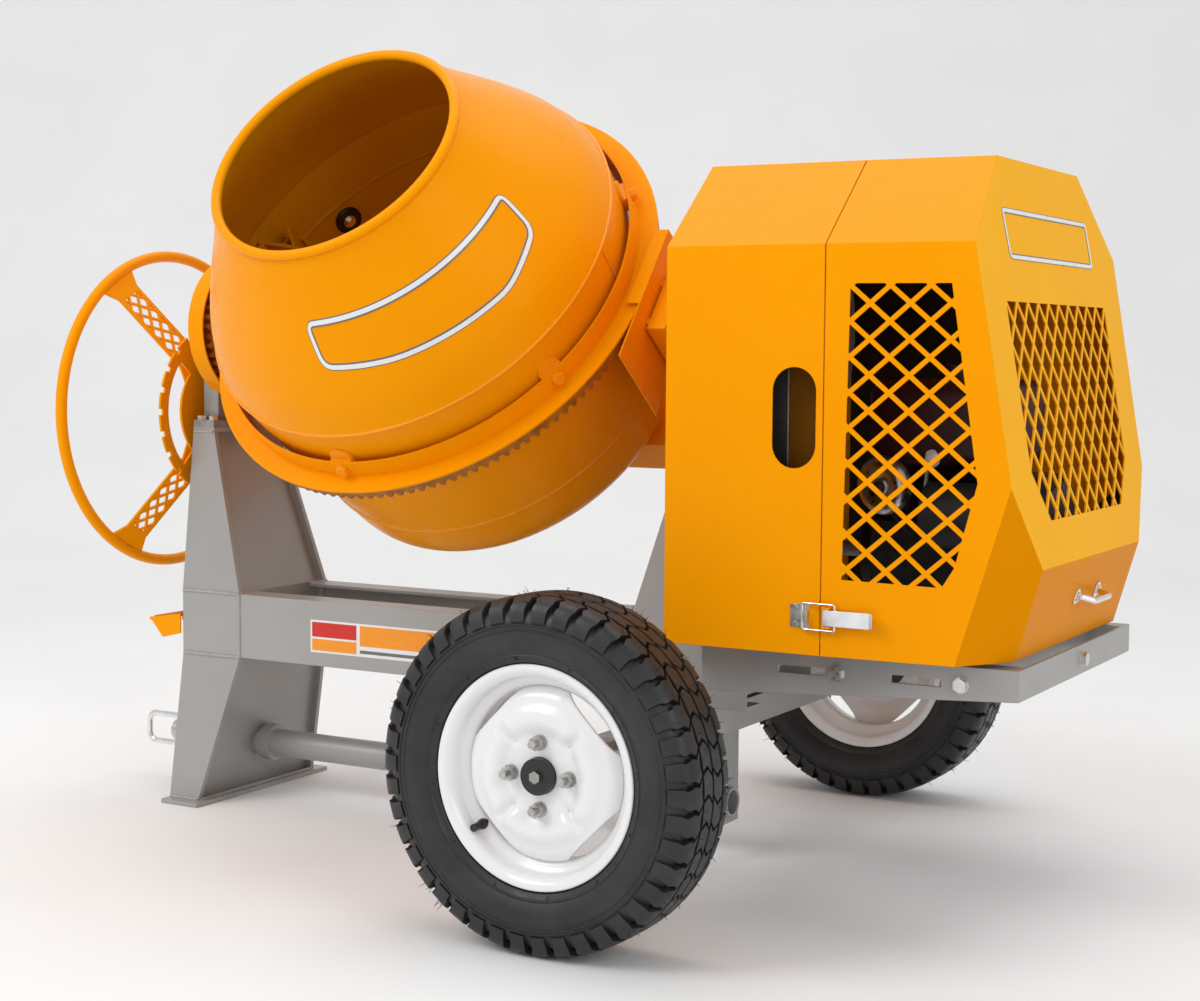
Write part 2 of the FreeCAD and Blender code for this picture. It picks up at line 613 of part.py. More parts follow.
def make_hood():
    """Hinged half of the casing with its grilles and bow handle."""
    c = hood_corners()
    m = {name: flip(p) for name, p in c.items()}
    rings = [
        [c["seam_low"], c["low"], c["knee"], c["bevel"], c["seam_bevel"]],
        [c["seam_bevel"], c["bevel"], c["top"], c["seam_top"]],
        [c["low"], c["low_end"], c["fold"], c["knee"]],
    ]
    faces = []
    for ring in rings:
        faces.append(polygon(ring))
        faces.append(polygon([flip(p) for p in ring]))
    faces.append(polygon([c["seam_top"], c["top"], m["top"], m["seam_top"]]))
    faces.append(polygon([c["top"], c["bevel"], m["bevel"], m["top"]]))
    faces.append(polygon([c["bevel"], c["knee"], c["fold"], m["fold"], m["knee"], m["bevel"]]))
    faces.append(polygon([c["fold"], c["low_end"], m["low_end"], m["fold"]]))
    near_edge = [c["seam_low"], c["seam_bevel"], c["seam_top"]]
    front = polygon(near_edge + [m["seam_top"], m["seam_bevel"], m["seam_low"]])
    floor = polygon([c["seam_low"], c["low"], c["low_end"], m["low_end"], m["low"], m["seam_low"]])
    shell = Part.makeShell(faces + [front, floor])
    shell.sewShape()
    solid = Part.makeSolid(shell)
    if solid.Volume < 0:
        solid.reverse()
    hood = solid.cut(moved_in(solid, SHEET))

    x = AXLE_X
    outline = [(x + 357, 995), (x + 512, 994), (x + 556, 704)]
    outline += [(x + 524, 580), (x + 505, 549), (x + 350, 552)]
    slope = HOOD_SLOPE

    def on_side(px, pz):
        return (px, -(CASE_Y + 3 - slope * (px - c["seam_low"][0])), pz)

    side_face = polygon([on_side(px, pz) for px, pz in outline])
    u = Vector(1, slope, 0).normalize()
    holes = grille_holes(side_face, on_side(x + 450, 780), u, Z_AXIS, 31, 26.5, 7.5, 420)
    through = holes.extrude(Vector(slope, -1, 0).normalize() * -7)
    hood = hood.cut(through)

    top_v, low_v = Vector(*c["bevel"]), Vector(*c["fold"])
    fall = Vector(low_v.x - top_v.x, 0, low_v.z - top_v.z).normalize()
    out = Vector(-fall.z, 0, fall.x)
    steps = [(-260, 85), (260, 85), (256, 343), (200, 418), (-200, 418), (-256, 343)]
    base = Vector(top_v.x, 0, top_v.z) + out * 3
    corners = []
    for y, down in steps:
        p = base + fall * down
        corners.append((p.x, y, p.z))
    end_face = polygon(corners)
    centre = base + fall * 245
    holes = grille_holes(end_face, centre, Y_AXIS, fall, 26, 32, 6.5, 520)
    hood = hood.cut(holes.extrude(out * -7))
    ears = latch_mounts()
    save("hood_shell", fuse([hood] + ears + [mirror_y(ear) for ear in ears]))

    fold, low_end = Vector(*c["fold"]), Vector(*c["low_end"])
    down = Vector(low_end.x - fold.x, 0, low_end.z - fold.z).normalize()
    away = Vector(-down.z, 0, down.x)
    seat = Vector(fold.x, 0, fold.z) + down * 66
    pts = []
    for y, lift in ((-62, 3), (-50, 3), (-40, 26), (40, 26), (50, 3), (62, 3)):
        p = seat + away * (lift + 2) + Vector(0, y + 20, 0)
        pts.append((p.x, p.y, p.z))
    bow = bent_rod(pts, 5, 7)
    feet = []
    for y in (-56, 56):
        p = seat + Vector(0, y + 20, 0)
        feet.append(cyl(p.x, p.y, p.z, away, 13, 3))
        feet.append(cyl(p.x, p.y, p.z, away, 8, 6))
    save("hood_handle", fuse([bow] + feet))


# ---- engine ------------------------------------------------------------------------------
def make_engine():
    """Horizontal-shaft engine on its rails, with the parts that show through the grilles."""
    x = AXLE_X + 215
    floor_z = FRAME_Z1
    base = box(x + 60, x + 330, -110, 120, floor_z, floor_z + 16)
    crankcase = box(x + 70, x + 290, -95, 115, floor_z + 16, CRANK_Z + 60)
    cover = cyl(x + 40, CRANK_Y, CRANK_Z, X_AXIS, 78, 32)
    barrel = box(x + 110, x + 240, 20, 190, CRANK_Z + 10, CRANK_Z + 120)
    fins = []
    for i in range(8):
        y = 40 + i * 19
        fins.append(box(x + 98, x + 252, y, y + 4, CRANK_Z + 4, CRANK_Z + 140))
    block = fuse([base, crankcase, cover, barrel] + fins)
    block = block.cut(box(x + 84, x + 276, -81, 101, floor_z + 30, CRANK_Z + 46))
    block = block.cut(cyl(x + 20, CRANK_Y, CRANK_Z, X_AXIS, CRANK_R + RUNNING, 80))
    save("engine_block", block)

    shroud = cyl(x + 290, CRANK_Y, CRANK_Z + 5, X_AXIS, 122, 66)
    inner = cyl(x + 294, CRANK_Y, CRANK_Z + 5, X_AXIS, 118, 58)
    starter = cyl(x + 356, CRANK_Y, CRANK_Z + 5, X_AXIS, 76, 22)
    boss = cyl(x + 378, CRANK_Y, CRANK_Z + 5, X_AXIS, 26, 7)
    path = [(x + 366, -62, CRANK_Z + 20), (x + 366, -92, CRANK_Z + 20), (x + 366, -112, CRANK_Z + 34)]
    grip = bent_rod(path, 5, 9)
    slots = []
    for i in range(12):
        slot = box(x + 355, x + 379, 42, 66, -4, 4)
        slot.rotate(ORIGIN, X_AXIS, 30 * i)
        slot.translate(Vector(0, CRANK_Y, CRANK_Z + 5))
        slots.append(slot)
    shroud = fuse([shroud.cut(inner), starter, boss, grip])
    save("engine_shroud", shroud.cut(fuse(slots)))

    tank = box(x + 70, x + 300, -128, 108, CRANK_Z + 150, CRANK_Z + 290)
    tank = tank.makeFillet(28, tank.Edges)
    fuel_room = box(x + 72, x + 298, -126, 106, CRANK_Z + 152, CRANK_Z + 288)
    tank = tank.cut(fuel_room.makeFillet(26, fuel_room.Edges))
    cap = cyl(x + 185, -10, CRANK_Z + 288, Z_AXIS, 36, 24)
    legs = []
    for lx in (x + 80, x + 262):
        legs.append(box(lx, lx + 8, -70, -40, CRANK_Z + 60, CRANK_Z + 156))
        legs.append(box(lx, lx + 8, 55, 85, CRANK_Z + 60, CRANK_Z + 156))
    save("fuel_tank", fuse([tank, cap] + legs))

    body = cyl(x + 190, -150, CRANK_Z + 78, X_AXIS, 52, 88)
    neck = box(x + 200, x + 262, -104, -95, CRANK_Z + 10, CRANK_Z + 50)
    elbow = box(x + 205, x + 257, -150, -100, CRANK_Z + 20, CRANK_Z + 62)
    lid = cyl(x + 278, -150, CRANK_Z + 78, X_AXIS, 56, 10)
    save("air_filter", fuse([body, neck, elbow, lid]))

    body = box(x + 92, x + 278, 195, 290, CRANK_Z + 20, CRANK_Z + 125)
    body = body.makeFillet(14, body.Edges)
    gas_room = box(x + 95, x + 275, 198, 287, CRANK_Z + 23, CRANK_Z + 122)
    body = body.cut(gas_room.makeFillet(11, gas_room.Edges))
    pipe = cyl(x + 292, 243, CRANK_Z + 72, X_AXIS * -1, 13, 30)
    flange = box(x + 140, x + 200, 190, 200, CRANK_Z + 40, CRANK_Z + 100)
    save("muffler", fuse([body, pipe, flange]))


# ---- belt drive --------------------------------------------------------------------------
def grooved_pulley(radius, x0, x1, y, z, bore, web_r):
    """V-belt pulley with rectangular grooves, a thin web and a hub."""
    floor_r = radius - 11
    rim = cyl(x0, y, z, X_AXIS, radius, x1 - x0)
    for belt_x in BELT_X:
        outer = cyl(belt_x - 7, y, z, X_AXIS, radius + 1, 14)
        rim = rim.cut(outer.cut(cyl(belt_x - 8, y, z, X_AXIS, floor_r, 16)))
    if web_r > 0:
        middle = (x0 + x1) / 2
        for start, length in ((x0 - 1, middle - 5 - x0 + 1), (middle + 5, x1 - middle - 4)):
            ring = cyl(start, y, z, X_AXIS, floor_r - 14, length)
            rim = rim.cut(ring.cut(cyl(start, y, z, X_AXIS, web_r, length)))
        for i in range(6):
            hole = cyl(middle - 9, 0, (floor_r - 14 + web_r) / 2, X_AXIS, 34, 18)
            hole.rotate(ORIGIN, X_AXIS, 60 * i)
            hole.translate(Vector(0, y, z))
            rim = rim.cut(hole)
    return rim.cut(cyl(x0 - 9, y, z, X_AXIS, bore, x1 - x0 + 18))


def make_drive():
    """Countershaft, bevel pinion, both pulleys and the belts between them."""
    pulley_x0 = BELT_X[0] - 11
    pulley_x1 = BELT_X[1] + 11
    shaft_x0 = DRUM_X + 396
    shaft = cyl(shaft_x0, TRUNNION_Y, TRUNNION_Z, X_AXIS, COUNTERSHAFT_R, pulley_x1 + 14 - shaft_x0)
    washer = cyl(pulley_x1, TRUNNION_Y, TRUNNION_Z, X_AXIS, COUNTERSHAFT_R + 8, 4)
    nut = hexagon(pulley_x1 + 4, TRUNNION_Y, TRUNNION_Z, X_AXIS, 46, 12)
    save("countershaft", fuse([shaft, washer, nut]))
    driven = grooved_pulley(DRIVEN_R, pulley_x0, pulley_x1, TRUNNION_Y, TRUNNION_Z, COUNTERSHAFT_R, 44)
    save("driven_pulley", driven)

    drive = grooved_pulley(DRIVE_R, pulley_x0, pulley_x1, CRANK_Y, CRANK_Z, 0.5, 0)
    drive = fuse([drive, cyl(pulley_x0, CRANK_Y, CRANK_Z, X_AXIS, 20, 1)])
    crank = cyl(pulley_x0 - 4, CRANK_Y, CRANK_Z, X_AXIS, CRANK_R, AXLE_X + 290 - pulley_x0)
    save("drive_pulley", fuse([drive, crank]))

    belts = []
    for belt_x in BELT_X:
        outer = loop_solid(belt_x - BELT_W / 2, BELT_W, 9.0)
        belts.append(outer.cut(loop_solid(belt_x - BELT_W / 2 - 1, BELT_W + 2, 0.6)))
    save("v_belts", Part.Compound(belts))


# ---- drum and its gearing, drawn about the drum axis -------------------------------------

def smooth(points, steps):
    """Curve through a few outline points, as a finer row of points."""
    fine = []
    last = len(points) - 1
    for i in range(last):
        p0, p1 = points[max(i - 1, 0)], points[i]
        p2, p3 = points[i + 1], points[min(i + 2, last)]
        for k in range(steps):
            t = k / steps
            place = []
            for a, b, c, d in zip(p0, p1, p2, p3):
                bend = (2 * a - 5 * b + 4 * c - d) * t * t + (3 * b - a - 3 * c + d) * t ** 3
                place.append((2 * b + (c - a) * t + bend) / 2)
            fine.append(tuple(place))
    return fine + [points[-1]]


def shell_profile():
    """Outside of the upper drum from the mouth down to its crease as (radius, station)."""
    cone = [(MOUTH_R, MOUTH_W), (270, 411), (309, 355), (344, 303), (374, 252), (CREASE_R, CREASE_W)]
    return smooth(cone, 4)


def wall(points):
    """Turned sheet of even thickness that follows an outline."""
    inner = []
    for i, (r, w) in enumerate(points):
        before = points[max(i - 1, 0)]
        after = points[min(i + 1, len(points) - 1)]
        dr, dw = after[0] - before[0], after[1] - before[1]
        size = math.hypot(dr, dw)
        inner.append((r + dw / size * SHELL_T, w - dr / size * SHELL_T))
    return inner


def make_drum():
    """Upper cone with its rolled mouth, lower shell, ring angle, ring gear and fixings."""
    cone = shell_profile() + [(BAND_R, RING_W)]
    inner = wall(cone)
    inner[0] = (MOUTH_R - SHELL_T, MOUTH_W)
    inner[-1] = (BAND_R - SHELL_T, RING_W)
    upper = turned(cone + inner[::-1])
    bead = Part.makeTorus(MOUTH_R - SHELL_T / 2, BEAD_R, Vector(0, 0, MOUTH_W))
    save("drum_upper", in_drum_frame(upper.fuse(bead)))

    knuckle = [(LOWER_CREASE_R, LOWER_CREASE_W), (362, -190), (BOTTOM_RIM_R, BOTTOM_RIM_W), (330, -242)]
    low = [(BAND_R, RING_W)] + smooth(knuckle + [(296, BOTTOM_W)], 4) + [(0, BOTTOM_W)]
    inner = wall(low)
    inner[0] = (BAND_R - SHELL_T, RING_W)
    inner[-1] = (0, BOTTOM_W + SHELL_T)
    save("drum_lower", in_drum_frame(turned(low + inner[::-1])))

    angle = [(404, RING_W + 35), (404, RING_W - 4), (RING_FLANGE_R, RING_W - 4), (RING_FLANGE_R, RING_W)]
    angle += [(409, RING_W), (409, RING_W + 35)]
    ring = turned(angle)
    fixings = []
    for i in range(6):
        turn = 60.0 * i + 30.0
        hole = cyl(400, 0, RING_W + 19, X_AXIS, 6, 12)
        hole.rotate(ORIGIN, Z_AXIS, turn)
        ring = ring.cut(hole)
        spacer = box(388, 404, -22, 22, RING_W + 6, RING_W + 34)
        tab = cyl(388, 0, RING_W + 34, X_AXIS, 22, 9)
        seat = fuse([spacer, tab]).cut(drum_core()).common(cyl(0, 0, RING_W, Z_AXIS, 404, 60))
        fixing = seat.fuse(hex_bolt(409, 0, RING_W + 19, X_AXIS, 6, 12))
        fixing.rotate(ORIGIN, Z_AXIS, turn)
        fixings.append(in_drum_frame(fixing))
    save("ring_angle", in_drum_frame(ring))
    save("ring_fixings", Part.Compound(fixings))

    k = BEVEL_FACE_RATIO
    root_w = PINION_PITCH_R + 1.2 * BEVEL_MODULE
    rise = root_w / RING_PITCH_R
    r_in, r_out = 394.0, 440.0
    blank = turned([(r_in, rise * r_in), (r_out, rise * r_out), (r_out, RING_W - 4), (r_in, RING_W - 4)])
    tip_w = PINION_PITCH_R - ADDENDUM * BEVEL_MODULE
    slope = math.tan(PRESSURE)
    half = math.pi * BEVEL_MODULE / 4 - FLANK_GAP
    tip_half = half - ADDENDUM * BEVEL_MODULE * slope
    deep_w = root_w + 0.6
    deep_half = half + (deep_w - PINION_PITCH_R) * slope
    section = [(-tip_half, tip_w), (tip_half, tip_w), (deep_half, deep_w), (-deep_half, deep_w)]
    ends = []
    for scale in (1.0, k):
        pts = [Vector(RING_PITCH_R * scale, y * scale, w * scale) for y, w in section]
        ends.append(Part.makePolygon(pts + pts[:1]))
    tooth = Part.makeLoft(ends, True, True)
    teeth = []
    for i in range(RING_TEETH):
        copy = tooth.copy()
        copy.rotate(ORIGIN, Z_AXIS, 360.0 * (i + 0.5) / RING_TEETH)
        teeth.append(copy)
    save("ring_gear", in_drum_frame(blank.multiFuse(teeth)))

    ends = []
    for scale in (1.0, k):
        pts = []
        for u, v in gear_points(PINION_TEETH, BEVEL_MODULE, math.pi / 2):
            pts.append(Vector(RING_PITCH_R * scale, u * scale, v * scale))
        ends.append(Part.makePolygon(pts + pts[:1]))
    pinion = Part.makeLoft(ends, True, True)
    hub = cyl(RING_PITCH_R, 0, 0, X_AXIS, 34, 15)
    pinion = pinion.fuse(hub).cut(cyl(380, 0, 0, X_AXIS, COUNTERSHAFT_R, 90))
    save("bevel_pinion", in_drum_frame(pinion))

    spindle = cyl(0, 0, BOTTOM_W, Z_AXIS * -1, 25, 128)
    flange = cyl(0, 0, BOTTOM_W, Z_AXIS * -1, 100, 8)
    nut = hexagon(0, 0, BOTTOM_W - 122, Z_AXIS * -1, 70, 14)
    save("drum_spindle", in_drum_frame(fuse([spindle, flange, nut])))
    make_paddles()


def drum_core():
    """Solid filling the drum's outside near the ring."""
    side = [(LOWER_CREASE_R, LOWER_CREASE_W), (BAND_R, RING_W), (CREASE_R, CREASE_W)]
    return turned([(0, LOWER_CREASE_W)] + side + [(0, CREASE_W)])


def make_paddles():
    """Three mixing blades, each a slanted plate on two L brackets bolted to the shell."""
    blades = []
    for i in range(3):
        outline = [(-60, -150), (40, -150), (92, 186), (-70, 186)]
        blade = prism([(0, y, w) for y, w in outline], (6, 0, 0))
        blade.rotate(ORIGIN, Z_AXIS, 48)
        blade.translate(Vector(292, 0, 0))
        legs = []
        for x, y, w in ((282, -8, -90), (282, 7, 168), (330, -47, 125)):
            leg = box(x, 384, y - 4, y + 4, w - 20, w + 20)
            foot = box(366, 376, y - 4, y + 44, w - 20, w + 20)
            legs.append(leg.fuse(foot))
            legs.append(cyl(350, y + 22, w, X_AXIS, 8, 24))
        piece = fuse([blade] + legs).common(inner_core())
        piece.rotate(ORIGIN, Z_AXIS, 120.0 * i + 170.0)
        blades.append(in_drum_frame(piece))
    save("paddles", Part.Compound(blades))


def inner_core():
    """Solid filling the inside of the drum up to its wall."""
    gap = SHELL_T + 0.02
    points = [(0, LOWER_CREASE_W - 70), (LOWER_CREASE_R - gap - 5, LOWER_CREASE_W - 50)]
    points += [(LOWER_CREASE_R - gap, LOWER_CREASE_W), (BAND_R - gap, RING_W)]
    points += [(CREASE_R - gap - 0.2, CREASE_W), (0, CREASE_W)]
    return turned(points)


# ---- yoke --------------------------------------------------------------------------------
def make_yoke():
    """Box-section U that carries the drum, its trunnions, bearing, tilt gear and guard."""
    half = [(YOKE_OUT, 75), (YOKE_OUT, -165), (372, -350)]
    inner = [(346, -272), (YOKE_IN, -160), (YOKE_IN, 75)]
    right = half
    left = [(-x, w) for x, w in reversed(half)]
    back = [(-x, w) for x, w in reversed(inner)]
    outline = right + left + back + inner
    outline = [(x, -YOKE_HALF_Y, w) for x, w in outline]
    outer = prism(outline, (0, 2 * YOKE_HALF_Y, 0))
    wire = Part.makePolygon([Vector(*p) for p in outline] + [Vector(*outline[0])])
    core = Part.Face(wire.makeOffset2D(-YOKE_WALL)).extrude(Vector(0, 2 * (YOKE_HALF_Y - YOKE_WALL), 0))
    core.translate(Vector(0, YOKE_WALL, 0))
    yoke = outer.cut(core)
    for sign in (-1, 1):
        yoke = yoke.cut(cyl(sign * (YOKE_IN - 1), 0, 0, X_AXIS * sign, TRUNNION_R, 40))
    yoke = yoke.cut(cyl(0, 0, -271, Z_AXIS * -1, 46, 82))
    bolts = []
    for w in (52, -120):
        bolts.append(hex_bolt(YOKE_OUT, -36, w, X_AXIS, 6, 12))
        yoke = yoke.cut(cyl(YOKE_OUT, -36, w, X_AXIS * -1, 6, 12))
    for sign in (-1, 1):
        bolts.append(hex_bolt(sign * 58, 0, -359, Z_AXIS * -1, 5, 20))
        yoke = yoke.cut(cyl(sign * 58, 0, -359, Z_AXIS, 5, 20))
    save("yoke_bolts", Part.Compound([in_drum_frame(bolt) for bolt in bolts]))
    save("yoke_frame", in_drum_frame(yoke))

    stub = cyl(-YOKE_IN, 0, 0, X_AXIS * -1, TRUNNION_R, BLOCK_OUT + 4 - YOKE_IN)
    save("trunnion_left", in_drum_frame(stub))
    tube = cyl(YOKE_IN, 0, 0, X_AXIS, TRUNNION_R, BLOCK_OUT + 4 - YOKE_IN)
    tube = tube.cut(cyl(YOKE_IN - 1, 0, 0, X_AXIS, COUNTERSHAFT_R + RUNNING, BLOCK_OUT))
    save("trunnion_right", in_drum_frame(tube))

    housing = cyl(0, 0, -268, Z_AXIS * -1, 46, 96)
    cap = cyl(0, 0, -350, Z_AXIS * -1, 70, 9)
    seat = cyl(0, 0, -263, Z_AXIS * -1, 70, 9)
    bearing = fuse([housing, cap, seat]).cut(cyl(0, 0, -250, Z_AXIS * -1, 25 + RUNNING, 130))
    for sign in (-1, 1):
        bearing = bearing.cut(cyl(sign * 58, 0, -360, Z_AXIS, 5, 20))
    save("drum_bearing", in_drum_frame(bearing))

    teeth = gear_points(TILT_TEETH, TILT_MODULE, gear_line())
    outline = [(-GEAR_OUT, u, v) for u, v in teeth]
    gear = prism(outline, (GEAR_OUT - GEAR_IN, 0, 0))
    gear = gear.cut(cyl(-GEAR_OUT - 1, 0, 0, X_AXIS, TRUNNION_R, 40))
    for i in range(5):
        hole = cyl(-GEAR_OUT - 1, 0, 74, X_AXIS, 22, 40)
        hole.rotate(ORIGIN, X_AXIS, 72 * i)
        gear = gear.cut(hole)
    gear.translate(Vector(DRUM_X, TRUNNION_Y, TRUNNION_Z))
    save("tilt_gear", gear)

    plate = box(447, 450, -148, 130, -55, 113)
    plate = plate.cut(cyl(440, 0, 0, X_AXIS, 36, 20))
    lip = box(422, 450, -34, 130, 110, 113)
    arms = []
    for y in (-48, 36):
        arms.append(box(450, YOKE_IN, y, y + 12, 45, 73))
    save("pinion_guard", in_drum_frame(fuse([plate, lip] + arms).cut(drum_band_clearance())))


def drum_band_clearance():
    """Room swept by the drum's band inside the guard's lip."""
    return turned([(0, 100), (400, 100), (400, 200), (0, 200)])


def gear_line():
    """Heading from the trunnion to the handwheel shaft in the Y-Z plane."""
    return math.atan2(HANDWHEEL_Z - TRUNNION_Z, HANDWHEEL_Y - TRUNNION_Y)


# ---- handwheel ---------------------------------------------------------------------------
def make_handwheel():
    """Dished wheel with three latticed spokes, its locking index ring, shaft and pinion."""
    rim = Part.makeTorus(HANDWHEEL_R, HANDWHEEL_TUBE_R, ORIGIN, X_AXIS)
    rim.translate(Vector(HANDWHEEL_RIM_X, HANDWHEEL_Y, HANDWHEEL_Z))
    save("handwheel_rim", rim)

    depth = HANDWHEEL_HUB_X - 4 - HANDWHEEL_RIM_X
    r0, r1 = 96.0, HANDWHEEL_R + 2
    run = math.hypot(r1 - r0, depth)
    lean = math.degrees(math.atan2(depth, r1 - r0))
    edge = [(0, 46), (30, 29), (run - 42, 29), (run, 52)]
    outline = [(u, -v) for u, v in edge] + [(u, v) for u, v in reversed(edge)]
    plate = polygon([(0, v, u) for u, v in outline])
    window = polygon([(0, v, u) for u, v in [(38, -21), (run - 50, -21), (run - 50, 21), (38, 21)]])
    holes = grille_holes(window, (0, 0, run / 2), Y_AXIS, Z_AXIS, 13, 16, 4.5, 220)
    spoke = plate.extrude(Vector(-5, 0, 0)).cut(holes.extrude(Vector(-5, 0, 0)))
    spokes = []
    for angle in (32.0, 152.0, 272.0):
        one = spoke.copy()
        one.rotate(ORIGIN, Y_AXIS, -lean)
        one.translate(Vector(HANDWHEEL_HUB_X - 2, 0, r0))
        one.rotate(ORIGIN, X_AXIS, angle)
        spokes.append(one)
    disc = cyl(HANDWHEEL_HUB_X - 7, 0, 0, X_AXIS, 104, 6)
    boss = cyl(HANDWHEEL_HUB_X - 12, 0, 0, X_AXIS, 32, HANDWHEEL_BOSS_X - HANDWHEEL_HUB_X + 12)
    hub = fuse(spokes + [disc, boss])
    hub = hub.cut(Part.makeTorus(HANDWHEEL_R, HANDWHEEL_TUBE_R, Vector(HANDWHEEL_RIM_X, 0, 0), X_AXIS))
    hub = hub.cut(cyl(HANDWHEEL_HUB_X - 20, 0, 0, X_AXIS, HANDWHEEL_SHAFT_R, 90))
    hub.translate(Vector(0, HANDWHEEL_Y, HANDWHEEL_Z))
    save("handwheel_spokes", hub)

    plate = cyl(HANDWHEEL_HUB_X - 1, 0, 0, X_AXIS, INDEX_R, 5)
    plate = plate.cut(cyl(HANDWHEEL_HUB_X - 2, 0, 0, X_AXIS, 32, 7))
    for angle in (92.0, 212.0, 332.0):
        arc = ring_sector(HANDWHEEL_HUB_X - 2, 110, 148, angle - 44, angle + 44, 7)
        plate = plate.cut(arc)
    for i in range(24):
        notch = box(HANDWHEEL_HUB_X - 2, HANDWHEEL_HUB_X + 5, -6, 6, INDEX_R - 9, INDEX_R + 2)
        notch.rotate(ORIGIN, X_AXIS, 15.0 * i)
        plate = plate.cut(notch)
    plate.translate(Vector(0, HANDWHEEL_Y, HANDWHEEL_Z))
    save("index_ring", plate)

    x0 = HANDWHEEL_HUB_X - 18
    gear_x0 = DRUM_X - GEAR_OUT
    shaft = cyl(x0, 0, 0, X_AXIS, HANDWHEEL_SHAFT_R, DRUM_X - GEAR_IN - x0)
    nut = hexagon(x0 - 6, 0, 0, X_AXIS, 34, 12)
    phase = gear_line() + math.pi + math.pi / TILT_PINION_TEETH
    outline = [(gear_x0, u, v) for u, v in gear_points(TILT_PINION_TEETH, TILT_MODULE, phase)]
    pinion = prism(outline, (GEAR_OUT - GEAR_IN, 0, 0))
    whole = fuse([shaft, nut.cut(cyl(x0 - 9, 0, 0, X_AXIS, 6, 4)), pinion])
    whole.translate(Vector(0, HANDWHEEL_Y, HANDWHEEL_Z))
    save("tilt_pinion", whole)


def ring_sector(x, r_in, r_out, start, stop, length):
    """Piece of a flat ring between two angles from +Z about X."""
    band = cyl(x, 0, 0, X_AXIS, r_out, length).cut(cyl(x, 0, 0, X_AXIS, r_in, length))
    wedge = [(x, 0, 0)]
    for i in range(9):
        a = math.radians(start + (stop - start) * i / 8)
        wedge.append((x, -2 * r_out * math.sin(a), 2 * r_out * math.cos(a)))
    return band.common(prism(wedge, (length, 0, 0)))


# ---- road wheels -------------------------------------------------------------------------
def make_wheels():
    """Tyre, pressed rim and hub for each side; drawn for -Y, whose outer face is at low y."""
    tyre = [(268, -50), (266, -60), (252, -67), (236, -71), (214, -72.5), (190, -68)]
    tyre += [(170, -57), (BEAD_SEAT_R, -51)]
    outside = tyre + [(r, -y) for r, y in reversed(tyre)]
    hollow = [(254, -48), (246, -56), (230, -60), (212, -61), (190, -56), (168, -42), (BEAD_SEAT_R, -36)]
    cavity = hollow + [(r, -y) for r, y in reversed(hollow)]
    rim = [(168, -54), (168, -51), (158, -51), (BEAD_SEAT_R, -47), (BEAD_SEAT_R, -22)]
    rim += [(134, -16), (134, 16)]
    rim += [(BEAD_SEAT_R, 22), (BEAD_SEAT_R, 47), (158, 51), (168, 51), (168, 54)]
    rim += [(156, 54), (149, 48.5), (149, 25), (131, 18), (131, -18), (149, -25), (149, -48.5), (156, -54)]
    outer = [(62, -34), (67, -36), (74, -40.5), (83, -43), (92, -41.5), (101, -36), (111, -33)]
    outer += [(124, -29), (131, -18)]
    inner = [(131, -10), (121, -24.5), (109, -28.5), (99, -31.5), (90, -37), (82, -38.5)]
    inner += [(73, -35.5), (65, -30.5)]
    disc = [(28, -34)] + smooth(outer, 3) + smooth(inner + [(56, -29.5)], 3) + [(28, -29.5)]
    section = turned(outside, Y_AXIS).cut(turned(cavity, Y_AXIS)).cut(turned(rim_room(), Y_AXIS))
    plate = turned(disc, Y_AXIS)
    for i in range(4):
        cut = Part.makeBox(14, 60, 92, Vector(113, -60, -46))
        cut.rotate(ORIGIN, Y_AXIS, 45 + 90 * i)
        plate = plate.cut(cut)
    wheel = turned(rim, Y_AXIS).fuse(plate)
    for i in range(4):
        hole = cyl(0, -60, STUD_CIRCLE_R, Y_AXIS, 6.5, 60)
        hole.rotate(ORIGIN, Y_AXIS, 90 * i)
        wheel = wheel.cut(hole)

    y_in = 29.5
    barrel = cyl(0, -y_in, 0, Y_AXIS, 33, 72)
    flange = cyl(0, -y_in, 0, Y_AXIS, 66, 9)
    nose = cyl(0, -y_in - 16, 0, Y_AXIS, 27.5, 20)
    tip = hexagon(0, -y_in - 22, 0, Y_AXIS, 17, 8)
    parts = [barrel, flange, nose, tip]
    for i in range(4):
        stud = cyl(0, -60, STUD_CIRCLE_R, Y_AXIS, 6, 36)
        nut = hexagon(0, -50, STUD_CIRCLE_R, Y_AXIS, 19, 16)
        seat = cyl(0, -38, STUD_CIRCLE_R, Y_AXIS, 12, 4)
        both = fuse([stud, nut, seat])
        both.rotate(ORIGIN, Y_AXIS, 90 * i)
        parts.append(both)
    hub = fuse(parts).cut(cyl(0, -13, 0, Y_AXIS, STUB_AXLE_R + RUNNING, 90))
    for name, side in (("near", -1), ("far", 1)):
        for label, shape in (("tyre", section), ("rim", wheel), ("hub", hub)):
            placed = shape.copy()
            placed.translate(Vector(AXLE_X, -WHEEL_Y, TYRE_R))
            if side > 0:
                placed = mirror_y(placed)
            save(f"{label}_{name}", placed)


def rim_room():
    """Room the rim takes inside the tyre."""
    points = [(100, -54), (168, -54), (168, -51), (158, -51), (BEAD_SEAT_R, -47)]
    return points + [(r, -y) for r, y in reversed(points)]


# ---- latches, lock pedal, tow bar --------------------------------------------------------

